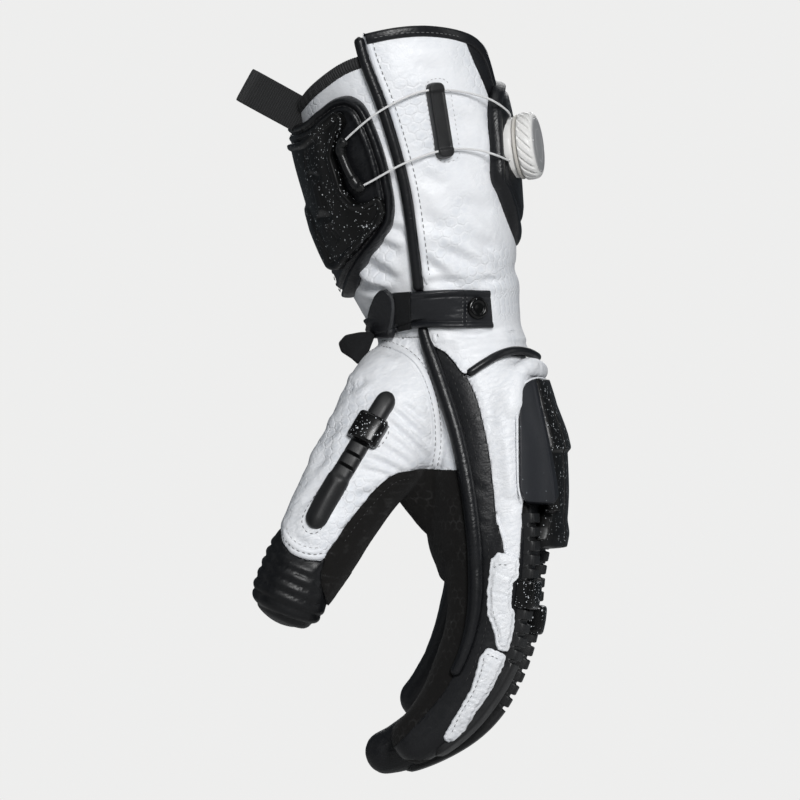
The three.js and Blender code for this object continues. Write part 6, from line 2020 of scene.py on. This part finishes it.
loop_uv[:-2, 1] = np.tile(wide, len(run))
piece("pull_loop_tape", points, faces, LOOP_TAPE, "pull_loop", uv=loop_uv, smooth_angle=50)
print("pull loop made")

# %% [markdown]
# Along the flap's edge and the seams of the thumb, a narrow welt of white leather is folded over
# beside the stitching. Each is a flattened bead that lies on the finished panel.

# %% Welts
def welt(name, line, lift, radius, flatten, ends, tree, material=WHITE_PRINTED):
    """A flat raised fold along a line seen from the thumb side."""
    places, normals = seen_from_thumb(resample(line, step=0.9), tree)
    normals = unit(softened(normals, 16))
    path = softened(places, 8) + normals * lift
    run = np.arange(len(path)) * 0.9
    size = np.clip(np.minimum(run, run[-1] - run) / ends, 0.12, 1) ** 0.6
    piece(name, *sweep(path, circle(radius, 16, flatten), up=normals, scale=size), material)


def along_flap(distance, high, low):
    """The part of a line beside the flap's edge that lies between two heights."""
    return shifted(flap_edge, distance)[(flap_edge[:, 1] < high) & (flap_edge[:, 1] > low)]


flap_tree, back_tree = tree_of("cuff_flap_leather"), tree_of("back_leather")
thumb_tree, palm_tree = tree_of("thumb_white_leather"), tree_of("palm_leather")
tip_line = smooth([[-66.2, -88.5], [-65.0, -92.6], [-60.8, -97.2], [-55.2, -99.6], [-49.6, -100.2], [-46.4, -98.8]])
tongue_fold = smooth([[22.9, -82.5], [23.6, -86], [25.0, -90.2], [26.2, -93.6], [26.4, -98.6]])
tab_edge = smooth([[-22.0, 8.6], [-20.3, 6.6], [-19.3, 4.2], [-19.4, -0.8], [-20.3, -5.6], [-21.4, -9.6]])
welt("flap_welt", along_flap(3.3, 112, 10), -0.1, 1.25, 0.55, 4.0, flap_tree)
welt("flap_welt_low", along_flap(3.2, -7.5, -15), -0.1, 1.1, 0.55, 2, flap_tree)
welt("thumb_welt", shifted(double_seam, -1.6), -0.05, 1.35, 0.42, 2.0, thumb_tree)
welt("thumb_welt_left", shifted(double_seam, -4.0), -0.25, 0.9, 0.45, 3.0, thumb_tree)
welt("thumb_tip_welt", tip_line, -0.1, 1.15, 0.6, 1.5, thumb_tree)
welt("thumb_tip_welt_inner", shifted(tip_line, 2.4), -0.15, 1.0, 0.5, 1.5, thumb_tree)
welt("tongue_fold", tongue_fold, 0.15, 0.8, 0.8, 1.5, back_tree, WHITE_WRINKLED)
welt("tab_raw_edge", tab_edge, 0.0, 0.75, 0.7, 1.5, tree_of("strap_tab_leather"), RAW_EDGE)
print("welts made")

# %% [markdown]
# Each seam below is a line in x and z, moved sideways by some millimetres from a pattern line. The
# stitches of one thread are joined into one piece.

# %% Sewing the seams
def inset(outline, distance):
    """A closed outline moved inwards, whichever way round it runs."""
    step = unit(np.roll(outline, -1, 0) - np.roll(outline, 1, 0))
    x, z = outline.T
    area = np.sum(x * np.roll(z, -1) - np.roll(x, -1) * z)
    return outline + np.stack([-step[:, 1], step[:, 0]], -1) * distance * np.sign(area)


spine_seam = smooth([[-47.6, -68.0], [-52.6, -75], [-57.0, -82.4], [-57.4, -87.4], [-54.6, -91.2], [-50.0, -91.6],
                     [-46.4, -87.8], [-42.4, -81.4], [-38.4, -75.0], [-36.4, -71.4]])
CLIP_SEAM = [[-22.2, -44.0], [-20.8, -47.2], [-21.4, -50.6], [-23.6, -54.0], [-27.2, -56.4], [-29.6, -55.8]]
STRIP_SEAM = [[17.8, -140.6], [17.2, -145], [13.6, -155], [8.0, -164.4], [4.6, -172.0]]
BINDING_SEAM = [[-27.4, 111.0], [-22, 112.2], [-16, 113.0], [-9.6, 113.5], [-3.4, 113.5], [3, 113.0], [8, 112.2]]
pad_seam = inset(pad_outline, 3.9)
pad_seam = np.roll(pad_seam, -np.argmin(pad_seam[:, 0]), 0)
inner_part = shifted(inner_edge[(inner_edge[:, 0] < -12) & (inner_edge[:, 1] > -93)], 3.0)
flap_part = shifted(flap_edge[(flap_edge[:, 1] < 111) & (flap_edge[:, 1] > 11)], 4.9)
strip_tree = tree_of("index_strip_lower_leather", "index_strip_upper_leather")
for seam in (  # thread, line, lift, tree, length and gap of a stitch, radius
        ("dark", shifted(double_seam, -0.5), 0.12, thumb_tree, 1.9, 0.5, 0.2),
        ("dark", shifted(double_seam, -2.7), 0.12, thumb_tree, 1.9, 0.5, 0.16),
        ("dark", shifted(spine_seam, 1.3), 0.05, thumb_tree, 1.5, 0.9, 0.18),
        ("dark", smooth(CLIP_SEAM), 0.05, thumb_tree, 1.5, 0.9, 0.18),
        ("dark", shifted(tip_line, 1.3), 0.1, thumb_tree, 1.5, 0.9, 0.18),
        ("white", shifted(tip_line, 3.9), 0.1, thumb_tree, 1.5, 0.9, 0.18),
        ("black", inner_part, 0.05, palm_tree, 1.1, 1.1, 0.2),
        ("dark", flap_part, 0.1, flap_tree, 1.8, 0.8, 0.19),
        ("dark", along_flap(5.0, -7.5, -14.5), 0.1, flap_tree, 1.6, 0.8, 0.19),
        ("black", along_flap(5.4, -24, -HUGE), 0.08, tree_of("thumb_side_leather"), 1.8, 0.9, 0.18),
        ("dark", smooth(STRIP_SEAM), 0.06, strip_tree, 1.4, 0.9, 0.16),
        ("dark", smooth([[18.6, -139.4], [22.4, -141.0], [25.6, -142.6]]), 0.06, strip_tree, 1.2, 0.7, 0.16),
        ("dark", smooth([[27.6, -103.4], [24.0, -103.0], [21.6, -104.6]]), 0.06, strip_tree, 1.4, 0.8, 0.16),
        ("white", smooth([[21.0, -112], [21.2, -120], [23.2, -129], [24.2, -136]]), 0.06, strip_tree, 1.4, 1.0, 0.16),
        ("dark", [[9.3, 6.4], [9.0, -4.6]], 0.06, strap_tree, 0.8, 0.8, 0.2),
        ("dark", [[10.9, 6.6], [10.6, -4.7]], 0.06, strap_tree, 0.8, 0.8, 0.2),
        ("white", inset(guide_outline, -1.5), 0.05, flap_tree, 1.1, 0.9, 0.17),
        ("black", pad_seam[pad_seam[:, 0] > -62], 0.15, tree_of("cuff_pad_leather"), 1.9, 0.9, 0.2),
        ("dark", smooth(BINDING_SEAM), -0.3, tree_of("flap_binding_tape"), 1.4, 0.8, 0.18)):
    sew(*seam)
for colour, material in (("white", WHITE_THREAD), ("dark", GREY_THREAD), ("black", BLACK_THREAD)):
    points, faces = together(SEWN[colour])
    piece("stitches_" + colour, points, faces, material)
    print("stitches,", colour + ":", len(faces) // 44)

# %% [markdown]
# The dressed glove may not be bigger than its solids, apart from a little that soft leather stands
# proud. Here the box round the dressed glove, without the floor, is measured.

# %% The dressed glove's box
low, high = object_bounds()
